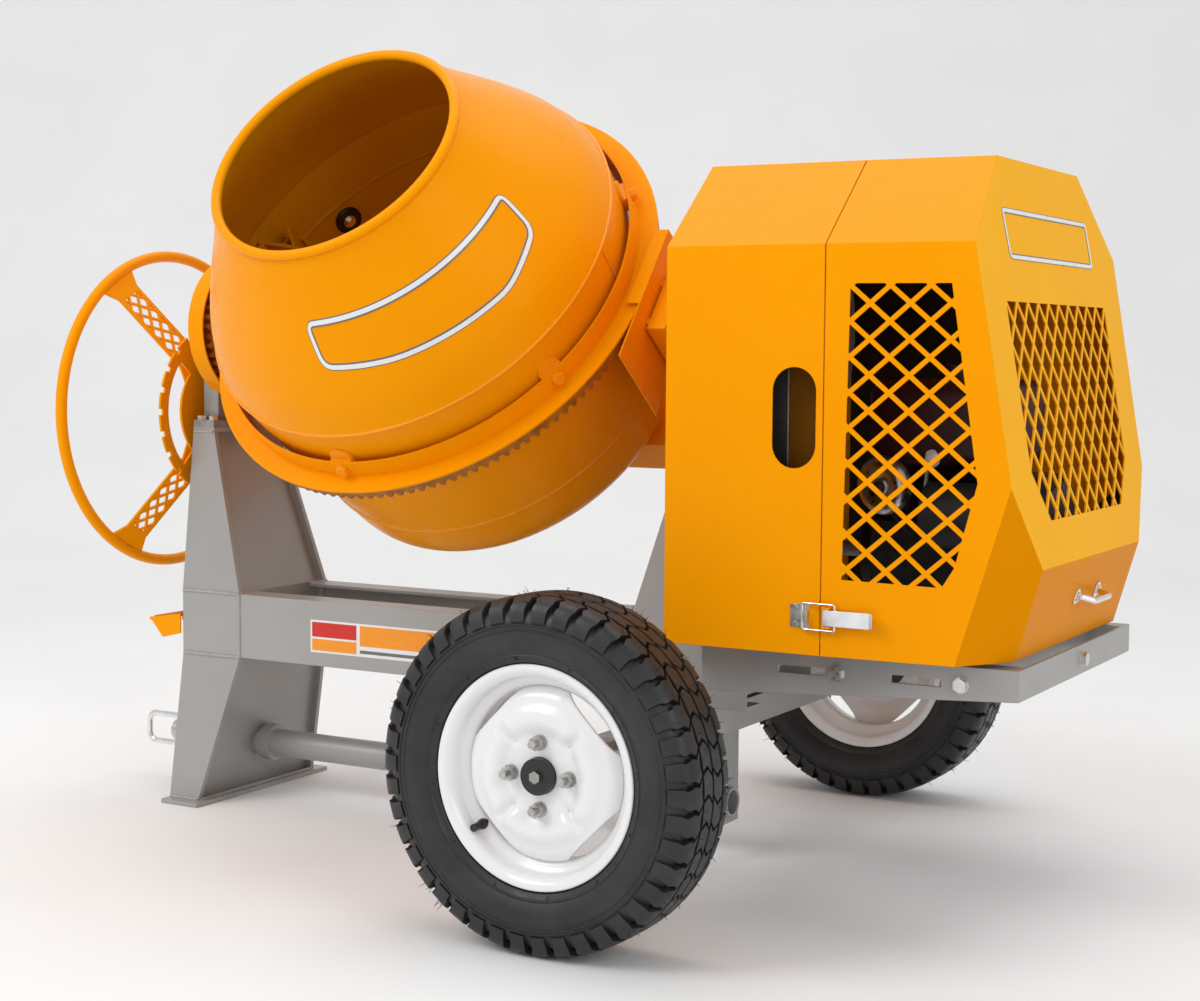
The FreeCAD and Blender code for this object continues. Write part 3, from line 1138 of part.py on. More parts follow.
def make_latches():
    """Over-centre draw latch on each side: a lever on the hood and a wire bail on the lever."""
    x, y = LATCH_PIVOT
    bx, by = BAIL_PIVOT
    lever = box(x - 4, x + 71, y - 6, y - 3.5, LATCH_Z0, LATCH_Z1)
    lip = [(x + 71, y - 6, LATCH_Z0), (x + 78, y - 12, LATCH_Z0)]
    lip += [(x + 78, y - 9.5, LATCH_Z0), (x + 71, y - 3.5, LATCH_Z0)]
    lip = prism(lip, (0, 0, LATCH_Z1 - LATCH_Z0))
    sides = []
    for z in (LATCH_Z0, LATCH_Z1 - 2):
        sides.append(box(x - 4, x + 40, y - 4, y + 3, z, z + 2))
    pin = cyl(x, y, LATCH_Z0 - 3, Z_AXIS, 2.5, LATCH_Z1 - LATCH_Z0 + 6)
    lug = fuse([lever, lip, pin] + sides)
    lug = lug.cut(cyl(bx, by, LATCH_Z0 - 1, Z_AXIS, 2 + RUNNING, LATCH_Z1 - LATCH_Z0 + 2))
    hook_x = AXLE_X + 290.0
    z_low, z_high = LATCH_Z0 - 8.0, LATCH_Z1 + 8.0
    wire = [(bx, by, LATCH_Z0 + 5), (bx, by, z_low), (hook_x, by + 3.5, z_low), (hook_x, by + 3.5, z_high)]
    wire += [(bx, by, z_high), (bx, by, LATCH_Z1 - 5)]
    bail = bent_rod(wire, 2, 3.5)
    save("latch_lever_near", lug)
    save("latch_bail_near", bail)
    save("latch_lever_far", mirror_y(lug))
    save("latch_bail_far", mirror_y(bail))


def latch_mounts():
    """Two small brackets on one side of the hood that hold the lever's pin."""
    x, y = LATCH_PIVOT
    parts = []
    for z in (LATCH_Z0 - 4, LATCH_Z1 + 1):
        ear = box(x - 7, x + 7, y - 5, -CASE_Y + 2, z, z + 3)
        parts.append(ear.cut(cyl(x, y, z - 1, Z_AXIS, 2.5 + RUNNING, 5)))
    return parts


def make_lock():
    """Foot pedal with the rod that reaches up to the handwheel's index ring."""
    pad = box(-34, 34, -52, 52, -3, 3)
    for i in range(-3, 4):
        pad = pad.fuse(box(i * 9 - 1.5, i * 9 + 1.5, -44, 44, 3, 5))
    pad.rotate(ORIGIN, Y_AXIS, -8.6)
    pad.translate(Vector(PYLON_X - 50, LOCK_Y - 20, 356))
    flap = [(PYLON_X - 84, 354), (PYLON_X - 4, 366), (PYLON_X - 4, 327), (PYLON_X - 50, 316)]
    flap = prism([(x, LOCK_Y - 72, z) for x, z in flap], (0, 3, 0))
    arm = box(PYLON_X - 60, LOCK_X + 6, LOCK_Y - 4, LOCK_Y + 4, 342, 354)
    top = HANDWHEEL_Z - math.sqrt(INDEX_R ** 2 - LOCK_Y ** 2) - LOCK_GAP
    rod = cyl(LOCK_X, LOCK_Y, 344, Z_AXIS, LOCK_ROD_R, top - 344)
    collar = cyl(LOCK_X, LOCK_Y, 520, Z_AXIS, LOCK_ROD_R + 4, 5)
    save("lock_pedal", fuse([pad, flap, arm, rod, collar]))


def make_tow_bar():
    """Sliding tow bar with a bent loop pinned across its outer end."""
    x0 = PYLON_X - 140
    bar = cyl(x0, 0, TOW_Z, X_AXIS, TOW_BAR_R, AXLE_X - 60 - x0)
    bar = bar.cut(cyl(x0 + 60, 0, TOW_Z, X_AXIS, TOW_BAR_R - 4, AXLE_X - x0))
    bar = bar.cut(cyl(x0 + 20, 0, TOW_Z - 40, Z_AXIS, 8 + RUNNING, 80))
    save("tow_bar", bar)
    px = x0 + 20
    pin = cyl(px, 0, TOW_Z - 34, Z_AXIS, 8, 68)
    left = px - 96
    top = TOW_Z + 29
    low = TOW_Z - 29
    loop = bent_rod([(px, 0, top), (left, 0, top), (left, 0, low), (px, 0, low)], 6, 18)
    save("tow_loop", pin.fuse(loop))


os.makedirs("parts", exist_ok=True)
make_frame()
make_engine_frame()
make_bearings()
make_cover()
make_hood()
make_engine()
make_drive()
make_drum()
make_yoke()
make_handwheel()
make_wheels()
make_latches()
make_lock()
make_tow_bar()
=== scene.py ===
"""Looks of the towable concrete mixer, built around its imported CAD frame. Metres throughout."""

import json
import math
import random

import bmesh
import bpy
from mathutils import Matrix, Vector, noise
from mathutils.bvhtree import BVHTree


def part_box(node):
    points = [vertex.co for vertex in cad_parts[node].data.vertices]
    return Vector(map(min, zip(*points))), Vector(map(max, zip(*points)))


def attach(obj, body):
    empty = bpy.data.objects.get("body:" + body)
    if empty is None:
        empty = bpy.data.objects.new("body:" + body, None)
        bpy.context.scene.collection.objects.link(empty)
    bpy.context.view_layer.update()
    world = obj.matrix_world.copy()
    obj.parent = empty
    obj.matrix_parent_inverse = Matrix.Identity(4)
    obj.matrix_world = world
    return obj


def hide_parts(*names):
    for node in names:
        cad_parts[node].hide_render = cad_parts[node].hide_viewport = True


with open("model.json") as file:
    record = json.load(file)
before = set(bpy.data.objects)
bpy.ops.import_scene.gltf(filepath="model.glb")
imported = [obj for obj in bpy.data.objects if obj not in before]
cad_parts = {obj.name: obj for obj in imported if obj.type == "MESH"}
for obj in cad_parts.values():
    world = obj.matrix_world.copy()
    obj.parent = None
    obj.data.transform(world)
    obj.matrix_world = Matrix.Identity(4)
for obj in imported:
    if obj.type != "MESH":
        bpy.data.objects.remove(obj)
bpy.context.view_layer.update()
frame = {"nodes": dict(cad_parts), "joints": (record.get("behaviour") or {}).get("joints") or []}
NODES = frame["nodes"]
SCENE = bpy.context.scene
rng = random.Random(20)
noise.seed_set(20)  # Blender otherwise seeds this from the clock

# ---- places taken from the CAD model -------------------------------------------------------
def reach_of(node_name, axis):
    """Lowest and highest place of a node along an axis, to a hundredth of a millimetre."""
    return [round(corner[axis], 5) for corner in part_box(node_name)]


JOINTS = {joint["name"]: joint for joint in frame["joints"]}
AXLE_X, WHEEL_Y, WHEEL_Z = JOINTS["wheel_far_spin"]["pos_m"]
TYRE_R = WHEEL_Z
STUD_R = 0.050
PYLON_X = reach_of("foot_plate", 0)[0]
CASE_Y = reach_of("belt_cover", 1)[1]
GUARD_Y = CASE_Y - 0.042
BEAM_Y = reach_of("main_frame", 1)[1]
BEAM_Z = reach_of("main_frame", 2)
TOW_Z = JOINTS["tow_loop_swing"]["pos_m"][2]
ENGINE_X = AXLE_X + 0.215

# The drum's own axes: Z runs along its axis towards the mouth, and X along the machine.
DRUM_POINT = Vector(JOINTS["drum_spin"]["pos_m"])
MOUTH_ANGLE = math.asin(JOINTS["drum_spin"]["axis"][2])
DRUM = Matrix.Translation(DRUM_POINT) @ Matrix.Rotation(math.pi / 2 - MOUTH_ANGLE, 4, "X")
CONE = [  # outside of the upper shell: (radius, distance along the drum's axis)
    (0.230, 0.474), (0.270, 0.411), (0.309, 0.355), (0.344, 0.303), (0.374, 0.252), (0.395, 0.200),
    (0.390, 0.105),
]
LOWER = [(0.390, 0.105), (0.367, -0.131), (0.362, -0.190), (0.352, -0.222)]
RIM_W = 0.4745
INSIDE_SEAM_W = 0.105


# ---- node materials ------------------------------------------------------------------------
class Shader:
    """Lays out a node material around one Principled shader."""

    def __init__(self, name, **values):
        self.material = bpy.data.materials.new(name)
        self.material.use_nodes = True
        self.tree = self.material.node_tree
        self.bsdf = self.tree.nodes["Principled BSDF"]
        self.coords = self.tree.nodes.new("ShaderNodeTexCoord").outputs["Object"]
        for key, value in values.items():
            self.bsdf.inputs[key.replace("_", " ")].default_value = value
        self.normal = None

    def link(self, a, b):
        self.tree.links.new(a, b)

    def noise(self, scale, detail=4.0, rough=0.55, stretch=None):
        node = self.tree.nodes.new("ShaderNodeTexNoise")
        node.inputs["Scale"].default_value = scale
        node.inputs["Detail"].default_value = detail
        node.inputs["Roughness"].default_value = rough
        self.link(self.place(stretch), node.inputs["Vector"])
        return node.outputs["Fac"]

    def place(self, stretch):
        if stretch is None:
            return self.coords
        mapping = self.tree.nodes.new("ShaderNodeMapping")
        mapping.inputs["Scale"].default_value = stretch
        self.link(self.coords, mapping.inputs["Vector"])
        return mapping.outputs["Vector"]

    def ramp(self, fac, low, high, start=0.35, stop=0.65):
        node = self.tree.nodes.new("ShaderNodeValToRGB")
        node.color_ramp.elements[0].position = start
        node.color_ramp.elements[1].position = stop
        node.color_ramp.elements[0].color = rgba(low)
        node.color_ramp.elements[1].color = rgba(high)
        self.link(fac, node.inputs["Fac"])
        return node.outputs["Color"]

    def blend(self, fac, a, b):
        node = self.tree.nodes.new("ShaderNodeMix")
        node.data_type = "RGBA"
        self.link(fac, node.inputs["Factor"])
        for value, name in ((a, "A"), (b, "B")):
            socket = [s for s in node.inputs if s.name == name and s.type == "RGBA"][0]
            if isinstance(value, tuple):
                socket.default_value = rgba(value)
            else:
                self.link(value, socket)
        return [s for s in node.outputs if s.type == "RGBA"][0]

    def colour(self, socket):
        self.link(socket, self.bsdf.inputs["Base Color"])

    def rough(self, fac, low, high):
        node = self.tree.nodes.new("ShaderNodeMapRange")
        node.inputs["From Min"].default_value = 0.3
        node.inputs["From Max"].default_value = 0.7
        node.inputs["To Min"].default_value = low
        node.inputs["To Max"].default_value = high
        self.link(fac, node.inputs["Value"])
        self.link(node.outputs["Result"], self.bsdf.inputs["Roughness"])

    def soften(self, radius):
        node = self.tree.nodes.new("ShaderNodeBevel")
        node.samples = 4
        node.inputs["Radius"].default_value = radius
        self.normal = node.outputs["Normal"]
        self.link(self.normal, self.bsdf.inputs["Normal"])

    def bump(self, height, strength, distance):
        node = self.tree.nodes.new("ShaderNodeBump")
        node.inputs["Strength"].default_value = strength
        node.inputs["Distance"].default_value = distance
        self.link(height, node.inputs["Height"])
        if self.normal is not None:
            self.link(self.normal, node.inputs["Normal"])
        self.normal = node.outputs["Normal"]
        self.link(self.normal, self.bsdf.inputs["Normal"])


def rgba(value):
    """A colour with alpha from a number, three numbers or four."""
    if isinstance(value, (int, float)):
        value = (value, value, value)
    return tuple(value) if len(value) == 4 else tuple(value) + (1.0,)


def paint(name, light, dark, rough, peel, edge, wave=0.0, **values):
    """Sprayed paint on sheet steel: faint shade drift, orange peel and soft reflections."""
    s = Shader(name, **values)
    drift = s.noise(3.0, 3.0)
    s.colour(s.blend(s.ramp(drift, 0.0, 1.0, 0.3, 0.7), dark, light))
    s.rough(s.noise(22.0, 5.0), rough[0], rough[1])
    s.soften(edge)
    if wave:
        s.bump(s.noise(3.0, 1.0), wave, 0.006)
    s.bump(s.noise(240.0, 2.0), peel, 0.0004)
    return s.material


def dusty(name, light, dark, rough, grain, depth, **values):
    """Rough sand-cast or moulded surface with a visible grain."""
    s = Shader(name, **values)
    mottle = s.noise(38.0, 6.0, 0.65)
    s.colour(s.blend(s.ramp(mottle, 0.0, 1.0), dark, light))
    s.rough(mottle, rough[0], rough[1])
    s.soften(0.0015)
    s.bump(s.noise(grain, 6.0, 0.7), depth, 0.0015)
    return s.material


def metal(name, light, dark, rough, stretch, **values):
    """Bare or plated metal with fine drawn streaks."""
    s = Shader(name, Metallic=1.0, **values)
    cloud = s.noise(45.0, 5.0, 0.6)
    s.colour(s.blend(s.ramp(cloud, 0.0, 1.0), dark, light))
    streak = s.noise(90.0, 4.0, 0.6, stretch)
    s.rough(streak, rough[0], rough[1])
    s.soften(0.0008)
    s.bump(streak, 0.06, 0.0004)
    return s.material


def rubber(name, light, dark):
    """Vulcanised rubber, matt with a fine grain and a faint bloom."""
    s = Shader(name)
    bloom = s.noise(14.0, 6.0, 0.62)
    s.colour(s.blend(s.ramp(bloom, 0.0, 1.0), dark, light))
    s.rough(s.noise(60.0, 5.0), 0.36, 0.56)
    s.bump(s.noise(420.0, 5.0, 0.7), 0.25, 0.0006)
    return s.material


ORANGE = paint("orange_paint", (0.96, 0.345, 0.0006), (0.93, 0.325, 0.0005), (0.24, 0.33), 0.07, 0.0016, 0.03,
               Specular_IOR_Level=0.14, Specular_Tint=(1.0, 0.62, 0.25, 1.0))
# Painted shade: a darker orange for the drum's inner faces, the inside seam and the paddles, standing in for
# the shade inside the drum.
DRUM_SHADE_ORANGE = paint("drum_inside_painted_shade", (0.78, 0.350, 0.002), (0.70, 0.310, 0.002), (0.32, 0.46), 0.12,
                     0.001, 0.04, Specular_IOR_Level=0.2)
# Painted shade: dark brown-orange for the guard plate behind the hand hole.
PAINTED_SHADE_ORANGE = paint("painted_shade_orange", (0.16, 0.056, 0.0005), (0.12, 0.042, 0.0004), (0.5, 0.65), 0.12,
                      0.001, Specular_IOR_Level=0.06)
# Painted light: a paler, yellower orange for the hood's end faces, which face the light.
END_LIT_ORANGE = paint("end_painted_light_orange", (0.98, 0.47, 0.0004), (0.95, 0.44, 0.0003), (0.34, 0.42), 0.02,
                   0.0016, Specular_IOR_Level=0.05, Specular_Tint=(1.0, 0.70, 0.20, 1.0))
# Painted shade: a darker orange for the hood's faces that slope back under the fold.
LOW_SHADE_ORANGE = paint("low_painted_shade_orange", (0.76, 0.262, 0.0003), (0.72, 0.248, 0.0002), (0.30, 0.40), 0.03,
                   0.0016, Specular_IOR_Level=0.02, Specular_Tint=(1.0, 0.55, 0.10, 1.0))
# Painted shade: near-black for the casings' inner faces, standing in for the dark inside.
INSIDE_SHADE = paint("painted_inside_shade", (0.022, 0.013, 0.007), (0.012, 0.008, 0.005), (0.5, 0.7), 0.3, 0.001)
GREY = paint("grey_paint", (0.400, 0.392, 0.380), (0.360, 0.352, 0.340), (0.34, 0.44), 0.08, 0.0018, 0.02,
             Metallic=0.25)
WHITE = paint("rim_white", (0.86, 0.86, 0.87), (0.82, 0.82, 0.83), (0.16, 0.24), 0.07, 0.0025, 0.03,
              Coat_Weight=0.4, Coat_Roughness=0.06)
BLACK = paint("hub_black", (0.016, 0.016, 0.017), (0.008, 0.008, 0.009), (0.26, 0.40), 0.12, 0.001)
RED = paint("tank_red", (0.055, 0.005, 0.004), (0.034, 0.003, 0.003), (0.30, 0.45), 0.10, 0.002)
CAST = dusty("cast_grey", (0.36, 0.355, 0.34), (0.24, 0.235, 0.225), (0.50, 0.68), 420.0, 0.75, Metallic=0.2)
ALLOY = dusty("engine_alloy", (0.050, 0.050, 0.052), (0.022, 0.022, 0.023), (0.42, 0.6), 520.0, 0.5,
              Metallic=0.6)
PLASTIC = dusty("engine_plastic", (0.022, 0.022, 0.023), (0.012, 0.012, 0.012), (0.42, 0.6), 700.0, 0.3)
ZINC = metal("zinc_plate", (0.80, 0.79, 0.76), (0.62, 0.61, 0.57), (0.22, 0.40), (1, 1, 1))
STEEL = metal("turned_steel", (0.62, 0.61, 0.59), (0.42, 0.41, 0.39), (0.24, 0.42), (1, 14, 14))
NUT_ZINC = metal("nut_zinc", (0.52, 0.51, 0.49), (0.34, 0.33, 0.31), (0.22, 0.36), (1, 1, 1))
CHROME = metal("bright_steel", (0.88, 0.88, 0.88), (0.74, 0.74, 0.74), (0.10, 0.22), (1, 1, 1))
HEAT = metal("heat_steel", (0.30, 0.25, 0.21), (0.16, 0.13, 0.11), (0.36, 0.6), (1, 1, 1))
TYRE = rubber("tyre_rubber", (0.021, 0.021, 0.022), (0.010, 0.010, 0.011))
BELT = rubber("belt_rubber", (0.030, 0.030, 0.030), (0.016, 0.016, 0.016))
WELD = dusty("weld_bead", (0.46, 0.445, 0.425), (0.38, 0.368, 0.35), (0.34, 0.48), 160.0, 0.6, Metallic=0.25)
ORANGE_WELD = paint("painted_weld", (0.98, 0.355, 0.003), (0.90, 0.31, 0.002), (0.26, 0.38), 0.3, 0.0006)
GREASE = dusty("gear_grease", (0.50, 0.170, 0.006), (0.26, 0.085, 0.006), (0.30, 0.5), 260.0, 0.5)
FILM_WHITE = paint("film_white", (0.86, 0.86, 0.85), (0.80, 0.80, 0.80), (0.25, 0.34), 0.03, 0.0004)
FILM_GREY = paint("film_grey", (0.17, 0.17, 0.17), (0.13, 0.13, 0.13), (0.25, 0.34), 0.03, 0.0004)
FILM_RED = paint("film_red", (0.66, 0.020, 0.010), (0.60, 0.014, 0.008), (0.25, 0.34), 0.03, 0.0004)
FILM_AMBER = paint("film_amber", (0.95, 0.33, 0.006), (0.90, 0.29, 0.004), (0.25, 0.34), 0.03, 0.0004)

FINISH = {
    ORANGE: "belt_cover gear_guard yoke_frame pinion_guard drum_lower ring_angle hood_shell handwheel_rim"
            " handwheel_spokes index_ring hood_hinge_fixed hood_hinge_moving lock_pedal drum_upper",
    DRUM_SHADE_ORANGE: "paddles",
    GREASE: "ring_gear tilt_gear tilt_pinion bevel_pinion",
    GREY: "main_frame left_pylon right_pylon foot_plate axle_beam tow_tube engine_frame engine_rails",
    CAST: "bearing_blocks drum_bearing driven_pulley drive_pulley",
    ZINC: "frame_bolts bearing_bolts yoke_bolts latch_strikes",
    ORANGE_WELD: "ring_fixings",
    CHROME: "latch_lever_near latch_bail_near latch_lever_far latch_bail_far hood_handle tow_loop",
    STEEL: "tow_bar stub_axles trunnion_left trunnion_right countershaft drum_spindle",
    WHITE: "rim_near rim_far",
    BLACK: "hub_near hub_far",
    BELT: "v_belts",
    ALLOY: "engine_block",
    PLASTIC: "air_filter engine_shroud",
    RED: "fuel_tank",
    HEAT: "muffler",
}
for material, names in FINISH.items():
    for node_name in names.split():
        data = NODES[node_name].data
        data.materials.clear()
        data.materials.append(material)


def recolour(node_name, material, wanted):
    """Gives a node's polygons that pass a test a second material."""
    data = NODES[node_name].data
    data.materials.append(material)
    index = len(data.materials) - 1
    for polygon in data.polygons:
        if wanted(polygon):
            polygon.material_index = index


def shade_inside(node_name, reach):
    """Painted shade: near-black on the faces of a sheet casing that look across its own inside."""
    data = NODES[node_name].data
    tree = BVHTree.FromPolygons([v.co for v in data.vertices], [p.vertices for p in data.polygons])

    def faces_inward(polygon):
        hit = tree.ray_cast(polygon.center + polygon.normal * 0.0005, polygon.normal)
        return hit[0] is not None and hit[3] > reach

    recolour(node_name, INSIDE_SHADE, faces_inward)


def on_guard_plate(polygon):
    """True for the near face of the plate that stands behind the hand hole, which gets painted shade."""
    return polygon.normal.y < -0.9 and abs(polygon.center.y + GUARD_Y) < 0.001


def on_upper_end(polygon):
    """True for the hood's outer end plane, down to the fold; it gets a paler orange as painted light."""
    return polygon.normal.x > 0.80 and polygon.normal.z > 0.10


def on_lower_end(polygon):
    """True for the hood's outer faces that slope back under the fold; they get a darker orange as painted
    shade.
    """
    return polygon.normal.x > 0.70 and -0.40 < polygon.normal.z < -0.10


def is_wheel_nut(polygon):
    """True for the faces of the four wheel nuts and the middle bolt."""
    x, z = polygon.center.x - AXLE_X, polygon.center.z - WHEEL_Z
    out = abs(polygon.center.y) - WHEEL_Y
    to_stud = min(math.hypot(abs(x) - STUD_R, z), math.hypot(x, abs(z) - STUD_R))
    return (to_stud < 0.0135 and out > 0.0342) or (math.hypot(x, z) < 0.0115 and out > 0.0456)


def faces_drum_axis(polygon):
    """True for the drum's inner faces, which get a darker orange as painted shade."""
    centre = DRUM.inverted() @ polygon.center
    normal = DRUM.to_3x3().inverted() @ polygon.normal
    return normal.dot(Vector((centre.x, centre.y, 0.0)).normalized()) < -0.3 and centre.z < RIM_W


for shell in ("drum_upper", "drum_lower"):
    recolour(shell, DRUM_SHADE_ORANGE, faces_drum_axis)
for casing in ("hood_shell", "belt_cover"):
    shade_inside(casing, 0.10)
recolour("belt_cover", PAINTED_SHADE_ORANGE, on_guard_plate)
recolour("hood_shell", END_LIT_ORANGE, on_upper_end)
recolour("hood_shell", LOW_SHADE_ORANGE, on_lower_end)
for hub in ("hub_near", "hub_far"):
    recolour(hub, NUT_ZINC, is_wheel_nut)


# ---- mesh building -------------------------------------------------------------------------
def piece(name, bm, material, body, angle=35.0):
    """Turns a bmesh into a finished piece that rides on a body."""
    bmesh.ops.recalc_face_normals(bm, faces=bm.faces)
    data = bpy.data.meshes.new(name)
    bm.to_mesh(data)
    bm.free()
    for polygon in data.polygons:
        polygon.use_smooth = True
    data.set_sharp_from_angle(angle=math.radians(angle))
    obj = bpy.data.objects.new(name, data)
    SCENE.collection.objects.link(obj)
    data.materials.append(material)
    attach(obj, body)
    return obj


def grid_solid(bm, top, low):
    """Closed slab between two equal grids of points."""
    rows, cols = len(top), len(top[0])
    upper = [[bm.verts.new(p) for p in row] for row in top]
    lower = [[bm.verts.new(p) for p in row] for row in low]
    for i in range(rows - 1):
        for j in range(cols - 1):
            bm.faces.new((upper[i][j], upper[i][j + 1], upper[i + 1][j + 1], upper[i + 1][j]))
            bm.faces.new((lower[i][j], lower[i + 1][j], lower[i + 1][j + 1], lower[i][j + 1]))
    rim = [(i, 0) for i in range(rows)] + [(rows - 1, j) for j in range(1, cols)]
    rim += [(i, cols - 1) for i in range(rows - 2, -1, -1)] + [(0, j) for j in range(cols - 2, 0, -1)]
    for k, (i, j) in enumerate(rim):
        a, b = rim[(k + 1) % len(rim)]
        bm.faces.new((upper[i][j], upper[a][b], lower[a][b], lower[i][j]))


def tube(bm, points, radius, sides=8, closed=False, ripple=None):
    """Round rod along a line of points. ripple(i) scales the radius at point i."""
    points = [Vector(p) for p in points]
    count = len(points)
    rings = []
    across = None
    for i, p in enumerate(points):
        after = points[(i + 1) % count] if closed else points[min(i + 1, count - 1)]
        before = points[i - 1] if closed or i else points[0]
        along = (after - before).normalized()
        if across is None:
            across = along.orthogonal().normalized()
        across = (across - along * across.dot(along)).normalized()
        side = along.cross(across)
        r = radius * (ripple(i) if ripple else 1.0)
        ring = []
        for k in range(sides):
            a = 2 * math.pi * k / sides
            ring.append(bm.verts.new(p + (across * math.cos(a) + side * math.sin(a)) * r))
        rings.append(ring)
    last = count if closed else count - 1
    for i in range(last):
        a, b = rings[i], rings[(i + 1) % count]
        for k in range(sides):
            m = (k + 1) % sides
            bm.faces.new((a[k], a[m], b[m], b[k]))
    if not closed:
        bm.faces.new(rings[0][::-1])
        bm.faces.new(rings[-1])


def lathe(bm, profile, matrix, segments=48, closed=True):
    """Turns (radius, height) points about the local Z axis of a matrix."""
    rings = []
    for r, h in profile:
        if r < 1e-6:
            rings.append([bm.verts.new(matrix @ Vector((0, 0, h)))])
            continue
        ring = []
        for k in range(segments):
            a = 2 * math.pi * k / segments
            ring.append(bm.verts.new(matrix @ Vector((r * math.cos(a), r * math.sin(a), h))))
        rings.append(ring)
    pairs = list(zip(rings, rings[1:]))
    if closed and len(rings[0]) > 1 and len(rings[-1]) > 1:
        pairs.append((rings[-1], rings[0]))
    for a, b in pairs:
        for k in range(segments):
            m = (k + 1) % segments
            if len(a) == 1 and len(b) == 1:
                continue
            if len(a) == 1:
                bm.faces.new((a[0], b[k], b[m]))
            elif len(b) == 1:
                bm.faces.new((a[k], a[m], b[0]))
            else:
                bm.faces.new((a[k], a[m], b[m], b[k]))


def smooth_line(points, steps):
    """Rounded line through a few points."""
    points = [Vector(p) for p in points]
    out = []
    last = len(points) - 1
    for i in range(last):
        p0, p1 = points[max(i - 1, 0)], points[i]
        p2, p3 = points[i + 1], points[min(i + 2, last)]
        for k in range(steps):
            t = k / steps
            out.append(0.5 * ((2 * p1) + (p2 - p0) * t + (2 * p0 - 5 * p1 + 4 * p2 - p3) * t * t
                              + (3 * p1 - p0 - 3 * p2 + p3) * t ** 3))
    out.append(points[-1])
    return out


def stops(start, end, step):
    """Evenly spread points from start to end, about a step apart."""
    start, end = Vector(start), Vector(end)
    count = max(2, int((end - start).length / step) + 1)
    return [start.lerp(end, i / (count - 1)) for i in range(count)]


def weld(bm, start, end, radius=0.0032):
    """Hand-laid weld bead between two points, with its ripples."""
    line = stops(start, end, 0.0035)
    seed = rng.random() * 100
    for i, p in enumerate(line):
        p += noise.noise_vector(Vector((seed, i * 0.35, 0))) * 0.0007
    tube(bm, line, radius, 6, ripple=lambda i: 0.88 + 0.14 * (i % 2) + 0.06 * math.sin(i * 0.7))


# ---- tyres ---------------------------------------------------------------------------------
TREAD = [  # running surface from the crown to the lower shoulder: (distance, radius, width)
    (0.000, 0.2680, 0.0000), (0.030, 0.2678, 0.0300), (0.045, 0.2670, 0.0450), (0.055, 0.2645, 0.0555),
    (0.062, 0.2600, 0.0620), (0.070, 0.2535, 0.0668), (0.080, 0.2440, 0.0702), (0.092, 0.2325, 0.0722),
]
CARCASS = [
    (0.2590, 0.0000), (0.2588, 0.0300), (0.2570, 0.0440), (0.2520, 0.0555), (0.2460, 0.0622),
    (0.2400, 0.0662), (0.2340, 0.0690), (0.2300, 0.0700), (0.2288, 0.0718), (0.2268, 0.0720),
    (0.2258, 0.0704), (0.2215, 0.0710), (0.2206, 0.0722), (0.2192, 0.0723), (0.2184, 0.0710),
    (0.2120, 0.0712), (0.2040, 0.0704), (0.1960, 0.0684), (0.1880, 0.0652), (0.1830, 0.0626),
    (0.1818, 0.0634), (0.1806, 0.0633), (0.1796, 0.0612), (0.1740, 0.0576), (0.1722, 0.0570),
    (0.1706, 0.0552), (0.1700, 0.0522), (0.1686, 0.0508), (0.1580, 0.0500), (0.1528, 0.0460),
]
PITCHES = 42
PITCH = 2 * math.pi * TYRE_R / PITCHES
BEAD_RIBS = 12
VENT_HAIRS = 170


def on_tread(a, s, depth):
    """Point on the tyre's running surface: a around, s across from the crown, depth inward."""
    sign = 1.0 if s >= 0 else -1.0
    s = abs(s)
    for low, high in zip(TREAD, TREAD[1:]):
        if s <= high[0]:
            break
    t = (s - low[0]) / (high[0] - low[0])
    r = low[1] + (high[1] - low[1]) * t
    h = low[2] + (high[2] - low[2]) * t
    dr, dh = high[1] - low[1], high[2] - low[2]
    size = math.hypot(dr, dh)
    r -= dh / size * depth
    h += dr / size * depth
    angle = a / TYRE_R
    return Vector((r * math.cos(angle), r * math.sin(angle), sign * h))


def along(points, s):
    """Value of a piecewise line of (s, value) points."""
    for (s0, v0), (s1, v1) in zip(points, points[1:]):
        if s <= s1:
            return v0 + (v1 - v0) * max(0.0, s - s0) / (s1 - s0)
    return points[-1][1]


# How a groove wanders around the tyre, and half its width, by the distance across from the crown.
SHOULDER_LINE = [
    (0.031, 0.0085), (0.041, -0.0035), (0.050, 0.0015), (0.060, -0.0030), (0.070, 0.0015), (0.092, 0.0010),
]
SHOULDER_GAP = [
    (0.031, 0.0024), (0.044, 0.0026), (0.055, 0.0044), (0.064, 0.0058), (0.080, 0.0064), (0.092, 0.0062),
]
CENTRE_LINE = [(0.002, -0.0085), (0.014, 0.0050), (0.028, -0.0025)]
CENTRE_GAP = [(0.002, 0.0022), (0.028, 0.0026)]
BLOCK_DEPTH = 0.0100


def runs_out(s_range):
    """True for blocks that run out on the sidewall."""
    return s_range[1] > 0.08


def block(bm, place, start, side, s_range, line, gap, rows, skew):
    """One rubber block between two neighbouring grooves."""
    grids = []
    for depth, ease in ((0.0, 0.0007), (BLOCK_DEPTH, -0.0006)):
        grid = []
        for i in range(rows + 1):
            v = i / rows
            row = []
            for j in range(5):
                u = j / 4
                zig = skew * (1 - abs(2 * u - 1)) * (1 - v)
                s = s_range[0] + zig + (s_range[1] - s_range[0] - zig) * v
                if i == 0:
                    s += ease
                left = start + along(line, s) + along(gap, s) + ease
                right = start + PITCH + along(line, s) - along(gap, s) - ease
                fade = min(1.0, (s_range[1] + 0.004 - s) / 0.024)
                inward = depth * fade if runs_out(s_range) else depth
                a = left + (right - left) * u
                row.append(place @ on_tread(side * a, side * s, inward))
            grid.append(row)
        grids.append(grid)
    grid_solid(bm, grids[0], grids[1])


def wheel_place(side):
    """A wheel's own axes: Z runs outward from its middle plane."""
    centre = Matrix.Translation((AXLE_X, side * WHEEL_Y, WHEEL_Z))
    return centre @ Matrix.Rotation(-side * math.pi / 2, 4, "X")


